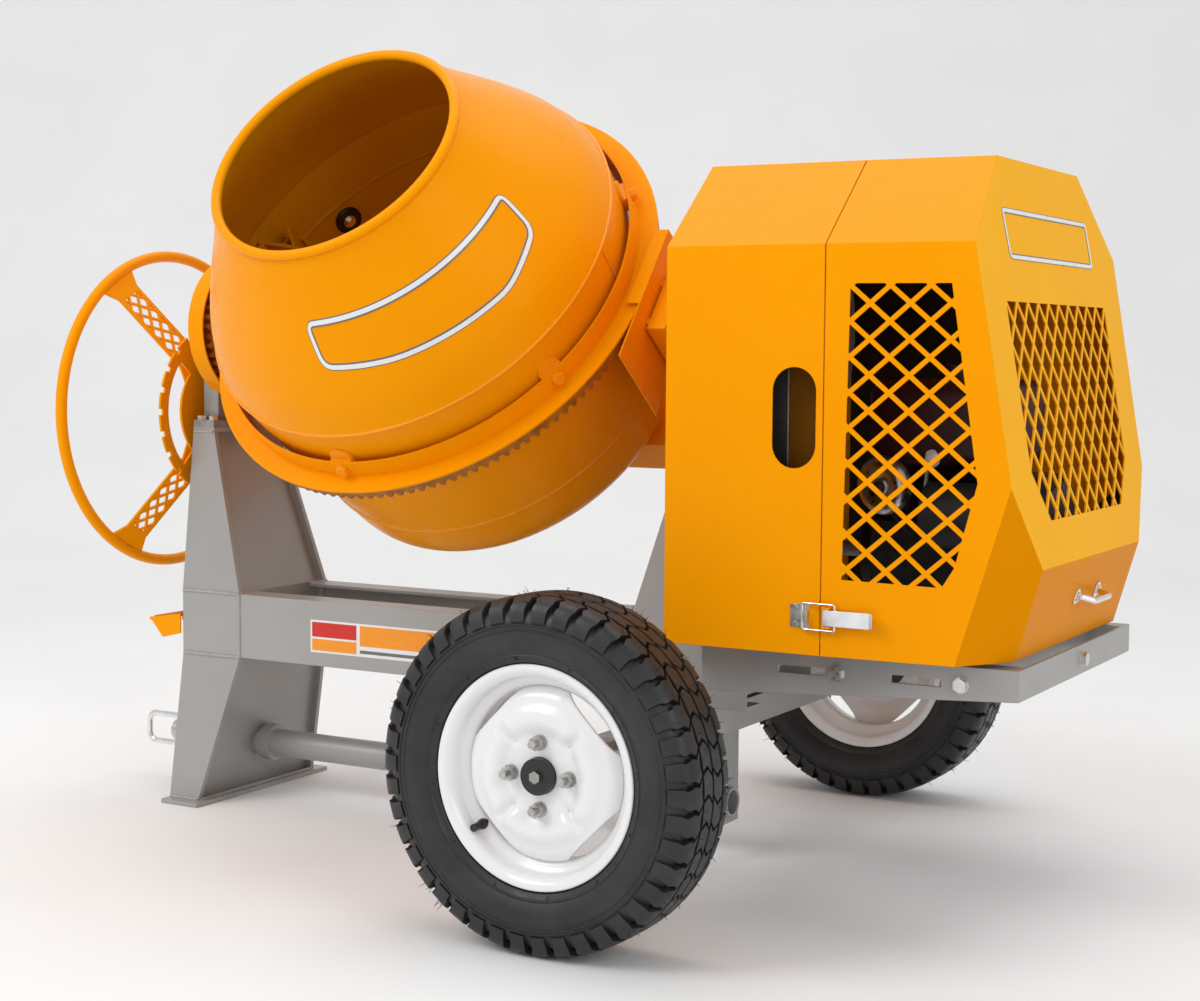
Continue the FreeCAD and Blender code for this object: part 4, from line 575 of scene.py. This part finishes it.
def make_tyre(name, side):
    """Carcass with its tread blocks and the short ribs beside the rim."""
    place = wheel_place(side)
    bm = bmesh.new()
    profile = CARCASS[::-1] + [(r, -h) for r, h in CARCASS[1:]]
    lathe(bm, profile, place, 180)
    for i in range(PITCHES):
        for sign in (-1, 1):
            start = i * PITCH + (0.5 * PITCH if sign > 0 else 0.0)
            block(bm, place, start, sign, (0.031, 0.092), SHOULDER_LINE, SHOULDER_GAP, 12, 0.003)
            block(bm, place, start + 0.35 * PITCH, sign, (0.002, 0.0275), CENTRE_LINE, CENTRE_GAP, 6, 0.0)
    for i in range(BEAD_RIBS):
        bead_rib(bm, place, 2 * math.pi * (i + 0.3) / BEAD_RIBS)
    tyre = piece(f"tyre_tread_{name}", bm, TYRE, f"wheel_{name}", 32.0)
    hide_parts(f"tyre_{name}")


def bead_rib(bm, place, angle):
    """Small radial rib moulded on the sidewall just outside the rim."""
    r0, r1, height = 0.1738, 0.1786, 0.0578
    top, low = [], []
    for r in (r0, r1):
        sides = [angle - 0.0012 / r, angle + 0.0012 / r]
        lift = 0.0016 + (r - r0) * 0.55
        top.append([place @ Vector((r * math.cos(a), r * math.sin(a), height + lift)) for a in sides])
        low.append([place @ Vector((r * math.cos(a), r * math.sin(a), height - 0.003)) for a in sides])
    grid_solid(bm, top, low)


def make_vent_hairs(name, side):
    """Loose rubber hairs that the mould leaves on a new tyre's tread."""
    place = wheel_place(side)
    bm = bmesh.new()
    for i in range(VENT_HAIRS):
        s = rng.choice((-1, 1)) * rng.uniform(0.020, 0.064)
        a = rng.uniform(0, 2 * math.pi) * TYRE_R
        root = place @ on_tread(a, s, 0.0008)
        out = (place @ on_tread(a, s, -0.01) - root).normalized()
        lean = Vector((rng.uniform(-1, 1), rng.uniform(-1, 1), rng.uniform(-1, 1))) * 0.55
        if root.z < 0.02:
            continue
        length = rng.uniform(0.005, 0.011)
        line = [root, root + (out + lean * 0.3) * length * 0.5, root + (out + lean) * length]
        tube(bm, line, 0.0006, 5, ripple=lambda k: (1.0, 0.8, 0.35)[k])
    piece(f"vent_hairs_{name}", bm, TYRE, f"wheel_{name}", 60.0)


# ---- rims ----------------------------------------------------------------------------------
VALVE_R = 0.1405
VALVE_H = 0.019
VALVE_LEAN = 0.16


def make_valve(name, side):
    """Short capped valve standing in the rim's well."""
    angle = math.radians(219 if side < 0 else 141)
    foot = Vector((VALVE_R * math.cos(angle), VALVE_R * math.sin(angle), VALVE_H))
    lean = Matrix.Rotation(VALVE_LEAN, 4, Vector((-math.sin(angle), math.cos(angle), 0)))
    stem = wheel_place(side) @ Matrix.Translation(foot) @ lean
    profile = [
        (0.0, -0.006), (0.0085, -0.006), (0.0085, 0.004), (0.0066, 0.007), (0.0060, 0.013), (0.0052, 0.014),
        (0.0058, 0.0145), (0.0060, 0.0235), (0.0048, 0.0255), (0.0, 0.0257),
    ]
    bm = bmesh.new()
    lathe(bm, profile, stem, 20, closed=False)
    piece(f"tyre_valve_{name}", bm, BLACK, f"wheel_{name}", 30.0)


BARREL = [  # outside of the well from the outer lip to the middle: (radius, distance outward)
    (0.1580, 0.0510), (0.1620, 0.0508), (0.1660, 0.0512), (0.1680, 0.0524), (0.1684, 0.0540),
    (0.1672, 0.0556), (0.1650, 0.0560), (0.1600, 0.0552), (0.1560, 0.0534), (0.1528, 0.0504),
    (0.1502, 0.0466), (0.1492, 0.0420), (0.1490, 0.0300), (0.1480, 0.0264), (0.1450, 0.0236),
    (0.1370, 0.0204), (0.1330, 0.0184), (0.1312, 0.0158),
]
BARREL_BACK = [(0.1524, 0.0470), (0.1524, 0.0220), (0.1340, 0.0160)]
WELL_R = 0.1310
DISC = [
    (0.028, 0.0340), (0.058, 0.0340), (0.063, 0.0350), (0.068, 0.0372), (0.074, 0.0402), (0.080, 0.0422),
    (0.086, 0.0430), (0.092, 0.0422), (0.098, 0.0398), (0.104, 0.0366), (0.110, 0.0342), (0.116, 0.0326),
    (0.122, 0.0302), (0.127, 0.0258), (0.1316, 0.0180),
]
DISC_T = 0.0045
DISC_STEPS = 240
ROUND_R = 0.098
FLAT_R = 0.1165
DENT_DEPTH = 0.0085
DENT_WIDTH = 0.0078


def make_barrel(name, side):
    """Rolled barrel that carries the tyre."""
    place = wheel_place(side)
    bm = bmesh.new()
    outer = BARREL + [(WELL_R, 0.0)]
    inner = [(r, -h) for r, h in reversed(BARREL)]
    back = [(r, -h) for r, h in BARREL_BACK] + [(r, h) for r, h in reversed(BARREL_BACK)]
    lathe(bm, outer + inner + back, place, 144)
    rim = piece(f"rim_barrel_{name}", bm, WHITE, f"wheel_{name}", 38.0)
    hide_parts(f"rim_{name}")


def disc_spot(angle, r):
    """Point on the disc's outer face, with its four flats and, between the nuts, four dents."""
    off = (angle - math.pi / 4) % (math.pi / 2)
    off = min(off, math.pi / 2 - off)
    full = DISC[-1][0]
    reach = min(full, FLAT_R / math.cos(off))
    if r > ROUND_R:
        r = ROUND_R + (r - ROUND_R) * (reach - ROUND_R) / (full - ROUND_R)
    starts = max(0.0, min(1.0, (r - 0.056) / 0.012))
    stops_by = max(0.0, min(1.0, (0.103 - r) / 0.012))
    dent = DENT_DEPTH * starts * stops_by * math.exp(-(r * math.sin(off) / DENT_WIDTH) ** 2)
    return Vector((r * math.cos(angle), r * math.sin(angle), along(DISC, r) - dent))


def make_disc(name, side):
    """Pressed disc between the barrel and the hub."""
    place = wheel_place(side)
    bm = bmesh.new()
    front, rear = [], []
    for i in range(DISC_STEPS):
        spots = [disc_spot(2 * math.pi * i / DISC_STEPS, r) for r, h in DISC]
        front.append([bm.verts.new(place @ spot) for spot in spots])
        rear.append([bm.verts.new(place @ (spot - Vector((0, 0, DISC_T)))) for spot in spots])
    last = len(DISC) - 1
    for i in range(DISC_STEPS):
        m = (i + 1) % DISC_STEPS
        for j in range(last):
            bm.faces.new((front[i][j], front[m][j], front[m][j + 1], front[i][j + 1]))
            bm.faces.new((rear[i][j], rear[i][j + 1], rear[m][j + 1], rear[m][j]))
        for j in (0, last):
            bm.faces.new((front[i][j], rear[i][j], rear[m][j], front[m][j]))
    piece(f"rim_disc_{name}", bm, WHITE, f"wheel_{name}", 45.0)


WHEELS = (("near", -1), ("far", 1))
for wheel_name, wheel_side in WHEELS:
    make_tyre(wheel_name, wheel_side)
    make_vent_hairs(wheel_name, wheel_side)
for wheel_name, wheel_side in WHEELS:
    make_barrel(wheel_name, wheel_side)
    make_disc(wheel_name, wheel_side)
    make_valve(wheel_name, wheel_side)


# ---- drum seams and label ------------------------------------------------------------------
def drum_radius(w):
    """Outside radius of the drum at a distance along its axis."""
    for line in (CONE, LOWER):
        for (r0, w0), (r1, w1) in zip(line, line[1:]):
            if w >= w1:
                return r0 + (r1 - r0) * (w0 - w) / (w0 - w1)
    return LOWER[-1][0]


def on_drum(degrees, w, lift=0.0):
    """Point on the drum's outside, raised by a lift."""
    a = math.radians(degrees)
    r = drum_radius(w) + lift
    return DRUM @ Vector((r * math.cos(a), r * math.sin(a), w))


def drum_seams():
    """Painted welds along and around the shells, outside and inside."""
    bm = bmesh.new()
    upper, lower = (0.196, 0.116), (0.088, -0.214)
    for degrees, (w0, w1) in ((2.0, upper), (182.0, upper), (-8.0, lower), (172.0, lower)):
        count = int(abs(w1 - w0) / 0.0035)
        line = []
        for i in range(count + 1):
            wobble = 0.05 * noise.noise(Vector((degrees, i * 0.3, 0)))
            line.append(on_drum(degrees + wobble, w0 + (w1 - w0) * i / count, 0.0002))
        tube(bm, line, 0.0026, 6, ripple=lambda i: 0.85 + 0.15 * (i % 2))
    for w in (0.2005, -0.131):
        ring = [on_drum(i, w, -0.0010) for i in range(0, 360, 2)]
        tube(bm, ring, 0.0034, 8, closed=True)
    piece("drum_weld_seams", bm, ORANGE_WELD, "drum", 40.0)

    bm = bmesh.new()
    ring = [on_drum(i, INSIDE_SEAM_W, -0.0042) for i in range(0, 360, 2)]
    tube(bm, ring, 0.0038, 8, closed=True)
    piece("drum_inside_seam", bm, DRUM_SHADE_ORANGE, "drum", 40.0)


def drum_inside_bolt():
    """Rubber washer and bolt on the inner wall, seen through the mouth."""
    turn, w = math.radians(145.0), 0.066
    r = drum_radius(w) - 0.0045
    out = Vector((math.cos(turn), math.sin(turn), 0.0))
    inward = (-out).to_track_quat("Z", "Y").to_matrix().to_4x4()
    place = DRUM @ Matrix.Translation((r * out.x, r * out.y, w)) @ inward
    bm = bmesh.new()
    rubber_line = [(0.0, -0.001), (0.027, -0.001), (0.027, 0.004), (0.024, 0.0062), (0.0, 0.0062)]
    lathe(bm, rubber_line, place, 40, closed=False)
    piece("drum_inside_washer", bm, BLACK, "drum", 30.0)
    bm = bmesh.new()
    flange_line = [(0.0, 0.006), (0.0125, 0.006), (0.0125, 0.0085), (0.0, 0.0085)]
    lathe(bm, flange_line, place, 28, closed=False)
    head_line = [(0.0, 0.0080), (0.0096, 0.0080), (0.0096, 0.0140), (0.0084, 0.0150), (0.0, 0.0150)]
    lathe(bm, head_line, place, 6, closed=False)
    piece("drum_inside_bolt", bm, ZINC, "drum", 30.0)


def rounded_outline(corners, radius, steps=8):
    """Corner points of a flat outline with each corner rounded off."""
    corners = [Vector(c) for c in corners]
    out = []
    for i, c in enumerate(corners):
        a = (corners[i - 1] - c).normalized()
        b = (corners[(i + 1) % len(corners)] - c).normalized()
        for k in range(steps + 1):
            t = k / steps
            p0, p2 = c + a * radius, c + b * radius
            out.append(p0.lerp(c, t).lerp(c.lerp(p2, t), t))
    return out


def dense(outline, step):
    """Adds points so that no side of a closed outline is longer than a step."""
    out = []
    for i, p in enumerate(outline):
        q = outline[(i + 1) % len(outline)]
        count = max(1, math.ceil((q - p).length / step))
        out += [p.lerp(q, k / count) for k in range(count)]
    return out


def inset(outline, gap):
    """Moves a closed outline inward by a gap."""
    area = 0.0
    for i, p in enumerate(outline):
        q = outline[(i + 1) % len(outline)]
        area += p.x * q.y - q.x * p.y
    sign = 1.0 if area > 0 else -1.0
    out = []
    for i, p in enumerate(outline):
        tangent = (outline[(i + 1) % len(outline)] - outline[i - 1]).normalized()
        out.append(p + Vector((-tangent.y, tangent.x)) * sign * gap)
    return out


def film_band(name, outer, inner, lay, lift, material, body):
    """Thin closed strip of film between two outlines, laid on a surface."""
    bm = bmesh.new()
    rings = []
    for outline, height in ((outer, lift), (inner, lift), (inner, -0.0006), (outer, -0.0006)):
        rings.append([bm.verts.new(lay(p, height)) for p in outline])
    for a, b in zip(rings, rings[1:] + rings[:1]):
        for k in range(len(a)):
            m = (k + 1) % len(a)
            bm.faces.new((a[k], a[m], b[m], b[k]))
    piece(name, bm, material, body, 30.0)


def film_sheet(name, u_count, v_count, edge, lay, lift, material, body):
    """Thin closed patch of film. edge(u, v) gives its flat place for u and v from 0 to 1."""
    bm = bmesh.new()
    grids = []
    for height in (lift, -0.0006):
        grids.append([[lay(edge(i / u_count, j / v_count), height) for j in range(v_count + 1)]
                      for i in range(u_count + 1)])
    grid_solid(bm, grids[0], grids[1])
    piece(name, bm, material, body, 30.0)


def drum_label():
    """Plain outlined panel that follows the drum's cone."""
    middle, height, mean_radius = -44.0, 0.346, 0.332
    corners = [
        (-0.230, -0.036), (-0.100, -0.050), (0.110, -0.060), (0.218, -0.036), (0.240, 0.036), (-0.246, 0.036),
    ]

    def lay(p, lift):
        return on_drum(middle + math.degrees(p.x / mean_radius), height + p.y, lift)

    outer = dense(rounded_outline(corners, 0.022), 0.006)
    film_band("drum_label_keyline", outer, inset(outer, 0.0105), lay, 0.0006, FILM_GREY, "drum")
    mid = inset(outer, 0.0014)
    film_band("drum_label_outline", mid, inset(mid, 0.0066), lay, 0.0009, FILM_WHITE, "drum")


drum_seams()
drum_inside_bolt()
drum_label()


# ---- panels and stripes on the casing and the beam -----------------------------------------
PANEL_Z = 1.066


def case_panel():
    """Plain outlined panel on the hood's end face."""
    z0, z1 = 1.020, 1.050
    x0, x1 = end_face_x(z0), end_face_x(z1)
    slope = (x1 - x0) / (z1 - z0)
    corners = [(-0.222, 0.046), (-0.212, -0.032), (0.222, -0.032), (0.216, 0.046)]

    def lay(p, lift):
        z = PANEL_Z + p.y
        return Vector((x1 + (z - z1) * slope + lift, p.x, z))

    outer = dense(rounded_outline(corners, 0.012, 5), 0.02)
    film_band("hood_panel_keyline", outer, inset(outer, 0.0090), lay, 0.0006, FILM_GREY, "hood")
    mid = inset(outer, 0.0012)
    film_band("hood_panel_outline", mid, inset(mid, 0.0058), lay, 0.0009, FILM_WHITE, "hood")


def end_face_x(z):
    """Where the hood's end face lies at a height, on the machine's middle line."""
    data = NODES["hood_shell"].data
    found = []
    for polygon in data.polygons:
        normal = polygon.normal
        corners = [data.vertices[i].co for i in polygon.vertices]
        heights = [corner.z for corner in corners]
        if normal.x < 0.8 or not min(heights) - 1e-6 <= z <= max(heights) + 1e-6:
            continue
        corner = corners[0]
        found.append(corner.x - (normal.z * (z - corner.z) - normal.y * corner.y) / normal.x)
    return max(found)


def beam_stripe():
    """Coloured film strip with plain fields on the near side beam."""
    x0, x1 = -0.467, 0.150
    z0, z1 = 0.316, 0.378

    def lay(p, lift):
        return Vector((p.x, -BEAM_Y - lift, p.y))

    def sheet(name, a0, a1, b0, b1, lift, material):
        def edge(u, v):
            return Vector((a0 + (a1 - a0) * u, b0 + (b1 - b0) * v))
        film_sheet(name, 12, 2, edge, lay, lift, material, "chassis")

    sheet("beam_stripe_base", x0, x1, z0, z1, 0.0006, FILM_WHITE)
    sheet("beam_stripe_red", x0 + 0.004, x0 + 0.108, z0 + 0.030, z1 - 0.004, 0.0009, FILM_RED)
    sheet("beam_stripe_amber", x0 + 0.004, x0 + 0.108, z0 + 0.004, z0 + 0.026, 0.0009, FILM_AMBER)
    sheet("beam_stripe_field", x0 + 0.116, x1 - 0.004, z0 + 0.020, z1 - 0.004, 0.0009, FILM_AMBER)
    sheet("beam_stripe_line", x0 + 0.116, x1 - 0.004, z0 + 0.006, z0 + 0.012, 0.0009, FILM_GREY)


case_panel()
beam_stripe()


# ---- welds ---------------------------------------------------------------------------------
def mirrored(lines):
    """The same lines with their twins across the machine's middle plane."""
    out = []
    for a, b in lines:
        out.append((a, b))
        out.append(((a[0], -a[1], a[2]), (b[0], -b[1], b[2])))
    return out


def frame_welds():
    """Beads where the beams meet the front pylon and the axle's legs, and round the pylon's foot."""
    bm = bmesh.new()
    beam_x = PYLON_X + 0.143
    z0, z1 = BEAM_Z
    lines = mirrored([
        ((beam_x, -BEAM_Y, z0), (beam_x, -BEAM_Y, z1)),
        ((beam_x, -BEAM_Y, z1), (beam_x, -BEAM_Y + 0.056, z1)),
        ((PYLON_X + 0.002, -BEAM_Y - 0.0006, z0), (beam_x, -BEAM_Y - 0.0006, z0)),
        ((PYLON_X + 0.002, -BEAM_Y - 0.0006, z1), (beam_x, -BEAM_Y - 0.0006, z1)),
        ((PYLON_X + 0.003, -0.181, 0.0085), (PYLON_X + 0.071, -0.181, 0.0085)),
        ((PYLON_X + 0.002, -0.103, 0.7265), (PYLON_X + 0.051, -0.103, 0.7265)),
    ])
    lines.append(((PYLON_X + 0.073, -0.178, 0.0085), (PYLON_X + 0.073, 0.178, 0.0085)))
    for side in (-1, 1):
        y = side * BEAM_Y
        lines.append(((AXLE_X - 0.030, y, 0.2895), (AXLE_X + 0.030, y, 0.2895)))
        lines.append(((AXLE_X + 0.084, y, z0 + 0.062), (AXLE_X + 0.084, y, z1)))
    for a, b in lines:
        weld(bm, a, b)
    piece("frame_weld_beads", bm, WELD, "chassis", 40.0)


def tow_tube_weld():
    """Two beads round the tube of the tow bar, behind the front pylon."""
    bm = bmesh.new()
    for x, r in ((PYLON_X + 0.0905, 0.0278), (PYLON_X + 0.118, 0.0285)):
        ring = []
        for i in range(60):
            a = 2 * math.pi * i / 60
            ring.append((x, r * math.cos(a), TOW_Z + r * math.sin(a)))
        tube(bm, ring, 0.003, 6, closed=True, ripple=lambda i: 0.85 + 0.2 * (i % 2))
    piece("tow_tube_weld_beads", bm, WELD, "chassis", 40.0)


frame_welds()
tow_tube_weld()


# ---- what shows of the engine --------------------------------------------------------------
def engine_hoses():
    """Black fuel hoses between the tank and the carburettor."""
    x = ENGINE_X
    upper = [
        (x + 0.30, -0.08, 0.705), (x + 0.28, -0.125, 0.690), (x + 0.25, -0.135, 0.650),
        (x + 0.235, -0.120, 0.622),
    ]
    lower = [
        (x + 0.11, 0.02, 0.69), (x + 0.09, -0.05, 0.70), (x + 0.10, -0.12, 0.655), (x + 0.16, -0.135, 0.60),
    ]
    bm = bmesh.new()
    tube(bm, smooth_line(upper, 10), 0.0035, 8)
    tube(bm, smooth_line(lower, 10), 0.0030, 8)
    piece("engine_fuel_hose", bm, PLASTIC, "chassis", 60.0)


def engine_carburettor():
    """Turned body with its stack of cooling ribs."""
    place = Matrix.Translation((ENGINE_X + 0.215, -0.118, 0))
    bm = bmesh.new()
    for i in range(5):
        z = 0.625 + i * 0.006
        lathe(bm, [(0.0, z), (0.011, z), (0.011, z + 0.003), (0.0, z + 0.003)], place, 20, closed=False)
    body_line = [(0.0, 0.608), (0.014, 0.608), (0.016, 0.626), (0.010, 0.640), (0.010, 0.660), (0.0, 0.660)]
    lathe(bm, body_line, place, 24, closed=False)
    piece("engine_carburettor", bm, STEEL, "chassis", 30.0)


def engine_dish():
    """Bright spun dish on the engine's near side, with a dark cap in its middle."""
    place = Matrix.Translation((ENGINE_X + 0.108, -0.130, 0.680)) @ Matrix.Rotation(math.radians(97), 4, "X")
    place = place @ Matrix.Rotation(math.radians(-14), 4, "Y")
    dish_line = [
        (0.0, 0.018), (0.012, 0.018), (0.014, 0.015), (0.020, 0.017), (0.030, 0.021), (0.040, 0.020),
        (0.046, 0.014), (0.048, 0.004), (0.048, -0.004), (0.0, -0.004),
    ]
    bm = bmesh.new()
    lathe(bm, dish_line, place, 48, closed=False)
    piece("engine_dish", bm, ZINC, "chassis", 40.0)
    cap_line = [(0.0, 0.026), (0.006, 0.026), (0.009, 0.023), (0.010, 0.018), (0.0, 0.018)]
    bm = bmesh.new()
    lathe(bm, cap_line, place, 24, closed=False)
    piece("engine_dish_cap", bm, PLASTIC, "chassis", 40.0)


def engine_lever():
    """Thin lever with a light grip, beside the dish."""
    x = ENGINE_X
    rod = [(x + 0.170, -0.118, 0.660), (x + 0.185, -0.150, 0.700), (x + 0.200, -0.172, 0.722)]
    bm = bmesh.new()
    tube(bm, smooth_line(rod, 8), 0.0035, 8)
    piece("engine_lever", bm, ZINC, "chassis", 40.0)
    place = Matrix.Translation((x + 0.204, -0.178, 0.728)) @ Matrix.Rotation(math.radians(40), 4, "X")
    grip_line = [
        (0.0, -0.013), (0.006, -0.013), (0.010, -0.008), (0.011, 0.004), (0.008, 0.012), (0.0, 0.014),
    ]
    bm = bmesh.new()
    lathe(bm, grip_line, place, 24, closed=False)
    piece("engine_lever_grip", bm, FILM_WHITE, "chassis", 50.0)


engine_hoses()
engine_carburettor()
engine_dish()
engine_lever()


# ---- behind the hand hole ------------------------------------------------------------------
def guard_sheet(name, x0, x1, thick, material):
    """Upright sheet that lies on the near face of the guard plate."""
    y = -GUARD_Y - 0.0005
    bm = bmesh.new()
    columns = [x0 + (x1 - x0) * i / 4 for i in range(5)]
    rows = [0.665 + 0.290 * i / 20 for i in range(21)]
    front = [[(x, y - thick, z) for x in columns] for z in rows]
    back = [[(x, y, z) for x in columns] for z in rows]
    grid_solid(bm, front, back)
    piece(name, bm, material, "chassis", 40.0)


GUARD_EDGE_X = AXLE_X + 0.241
# Painted shade: a thin black sheet over the plate's near face, left of its edge, stands for the shade inside
# the hand hole.
guard_sheet("guard_shade_sheet", GUARD_EDGE_X - 0.048, GUARD_EDGE_X, 0.0015, BELT)
# Painted highlight: a thin bright steel strip stands for the light on the guard plate's edge.
guard_sheet("guard_edge_highlight", GUARD_EDGE_X, GUARD_EDGE_X + 0.0025, 0.0040, STEEL)


# ---- studio --------------------------------------------------------------------------------
CAMERA_PLACE = Vector((1.8825, -3.1372, 0.8985))
CAMERA_TURN = (29.8, 4.4, 0.4)
LENS = 59.964


def make_floor():
    """Pale floor that sweeps up into a back wall."""
    bm = bmesh.new()
    half, back_y, radius, top = 14.0, 6.0, 3.0, 9.0
    line = [(-12.0, 0.0)]
    line += [(back_y - radius + radius * math.sin(a), radius - radius * math.cos(a))
             for a in [math.radians(7.5 * i) for i in range(13)]]
    line.append((back_y, top))
    grid = [[bm.verts.new((x, y, z - 0.0005)) for y, z in line] for x in (-half, half)]
    for j in range(len(line) - 1):
        bm.faces.new((grid[0][j], grid[1][j], grid[1][j + 1], grid[0][j + 1]))
    data = bpy.data.meshes.new("floor")
    bm.to_mesh(data)
    bm.free()
    for polygon in data.polygons:
        polygon.use_smooth = True
    floor = bpy.data.objects.new("floor", data)
    SCENE.collection.objects.link(floor)
    s = Shader("pale_floor", Roughness=0.75)
    s.colour(s.blend(s.ramp(s.noise(1.5, 3.0), 0.0, 1.0), (0.90, 0.90, 0.90), (0.93, 0.93, 0.93)))
    floor.data.materials.append(s.material)
    floor.rotation_euler = (0, 0, math.radians(CAMERA_TURN[0]))


def make_lights():
    """Even white surroundings with three soft area lights."""
    world = bpy.data.worlds.new("studio")
    world.use_nodes = True
    world.node_tree.nodes["Background"].inputs["Color"].default_value = (1.0, 1.0, 1.0, 1.0)
    world.node_tree.nodes["Background"].inputs["Strength"].default_value = 0.66
    SCENE.world = world

    def area(name, place, aim, size, power):
        light = bpy.data.lights.new(name, "AREA")
        light.shape = "RECTANGLE"
        light.size, light.size_y = size
        light.energy = power
        obj = bpy.data.objects.new(name, light)
        SCENE.collection.objects.link(obj)
        obj.location = place
        obj.rotation_euler = (Vector(aim) - Vector(place)).to_track_quat("-Z", "Y").to_euler()

    area("key_light", (-2.6, -4.2, 4.4), (0.0, 0.0, 0.7), (3.0, 3.0), 125.0)
    area("fill_light", (4.6, -2.6, 2.6), (0.2, 0.0, 0.7), (3.0, 2.4), 48.0)
    area("top_light", (0.2, 0.8, 4.6), (0.0, 0.0, 0.6), (4.0, 3.0), 52.0)


def make_camera():
    """Camera given by its place, azimuth, elevation and roll."""
    azimuth, elevation, roll = (math.radians(v) for v in CAMERA_TURN)
    lens = bpy.data.cameras.new("camera")
    lens.sensor_width = 36.0
    lens.lens = LENS
    lens.clip_end = 60.0
    obj = bpy.data.objects.new("camera", lens)
    SCENE.collection.objects.link(obj)
    level = math.cos(elevation)
    back = Vector((math.sin(azimuth) * level, -math.cos(azimuth) * level, math.sin(elevation)))
    right = Vector((math.cos(azimuth), math.sin(azimuth), 0.0))
    up = right.cross(-back)
    rolled_right = right * math.cos(roll) + up * math.sin(roll)
    rolled_up = up * math.cos(roll) - right * math.sin(roll)
    turn = Matrix((rolled_right, rolled_up, back)).transposed().to_4x4()
    obj.matrix_world = Matrix.Translation(CAMERA_PLACE) @ turn
    SCENE.camera = obj


make_floor()
make_lights()
make_camera()
SCENE.view_settings.view_transform = "Standard"
SCENE.view_settings.look = "None"
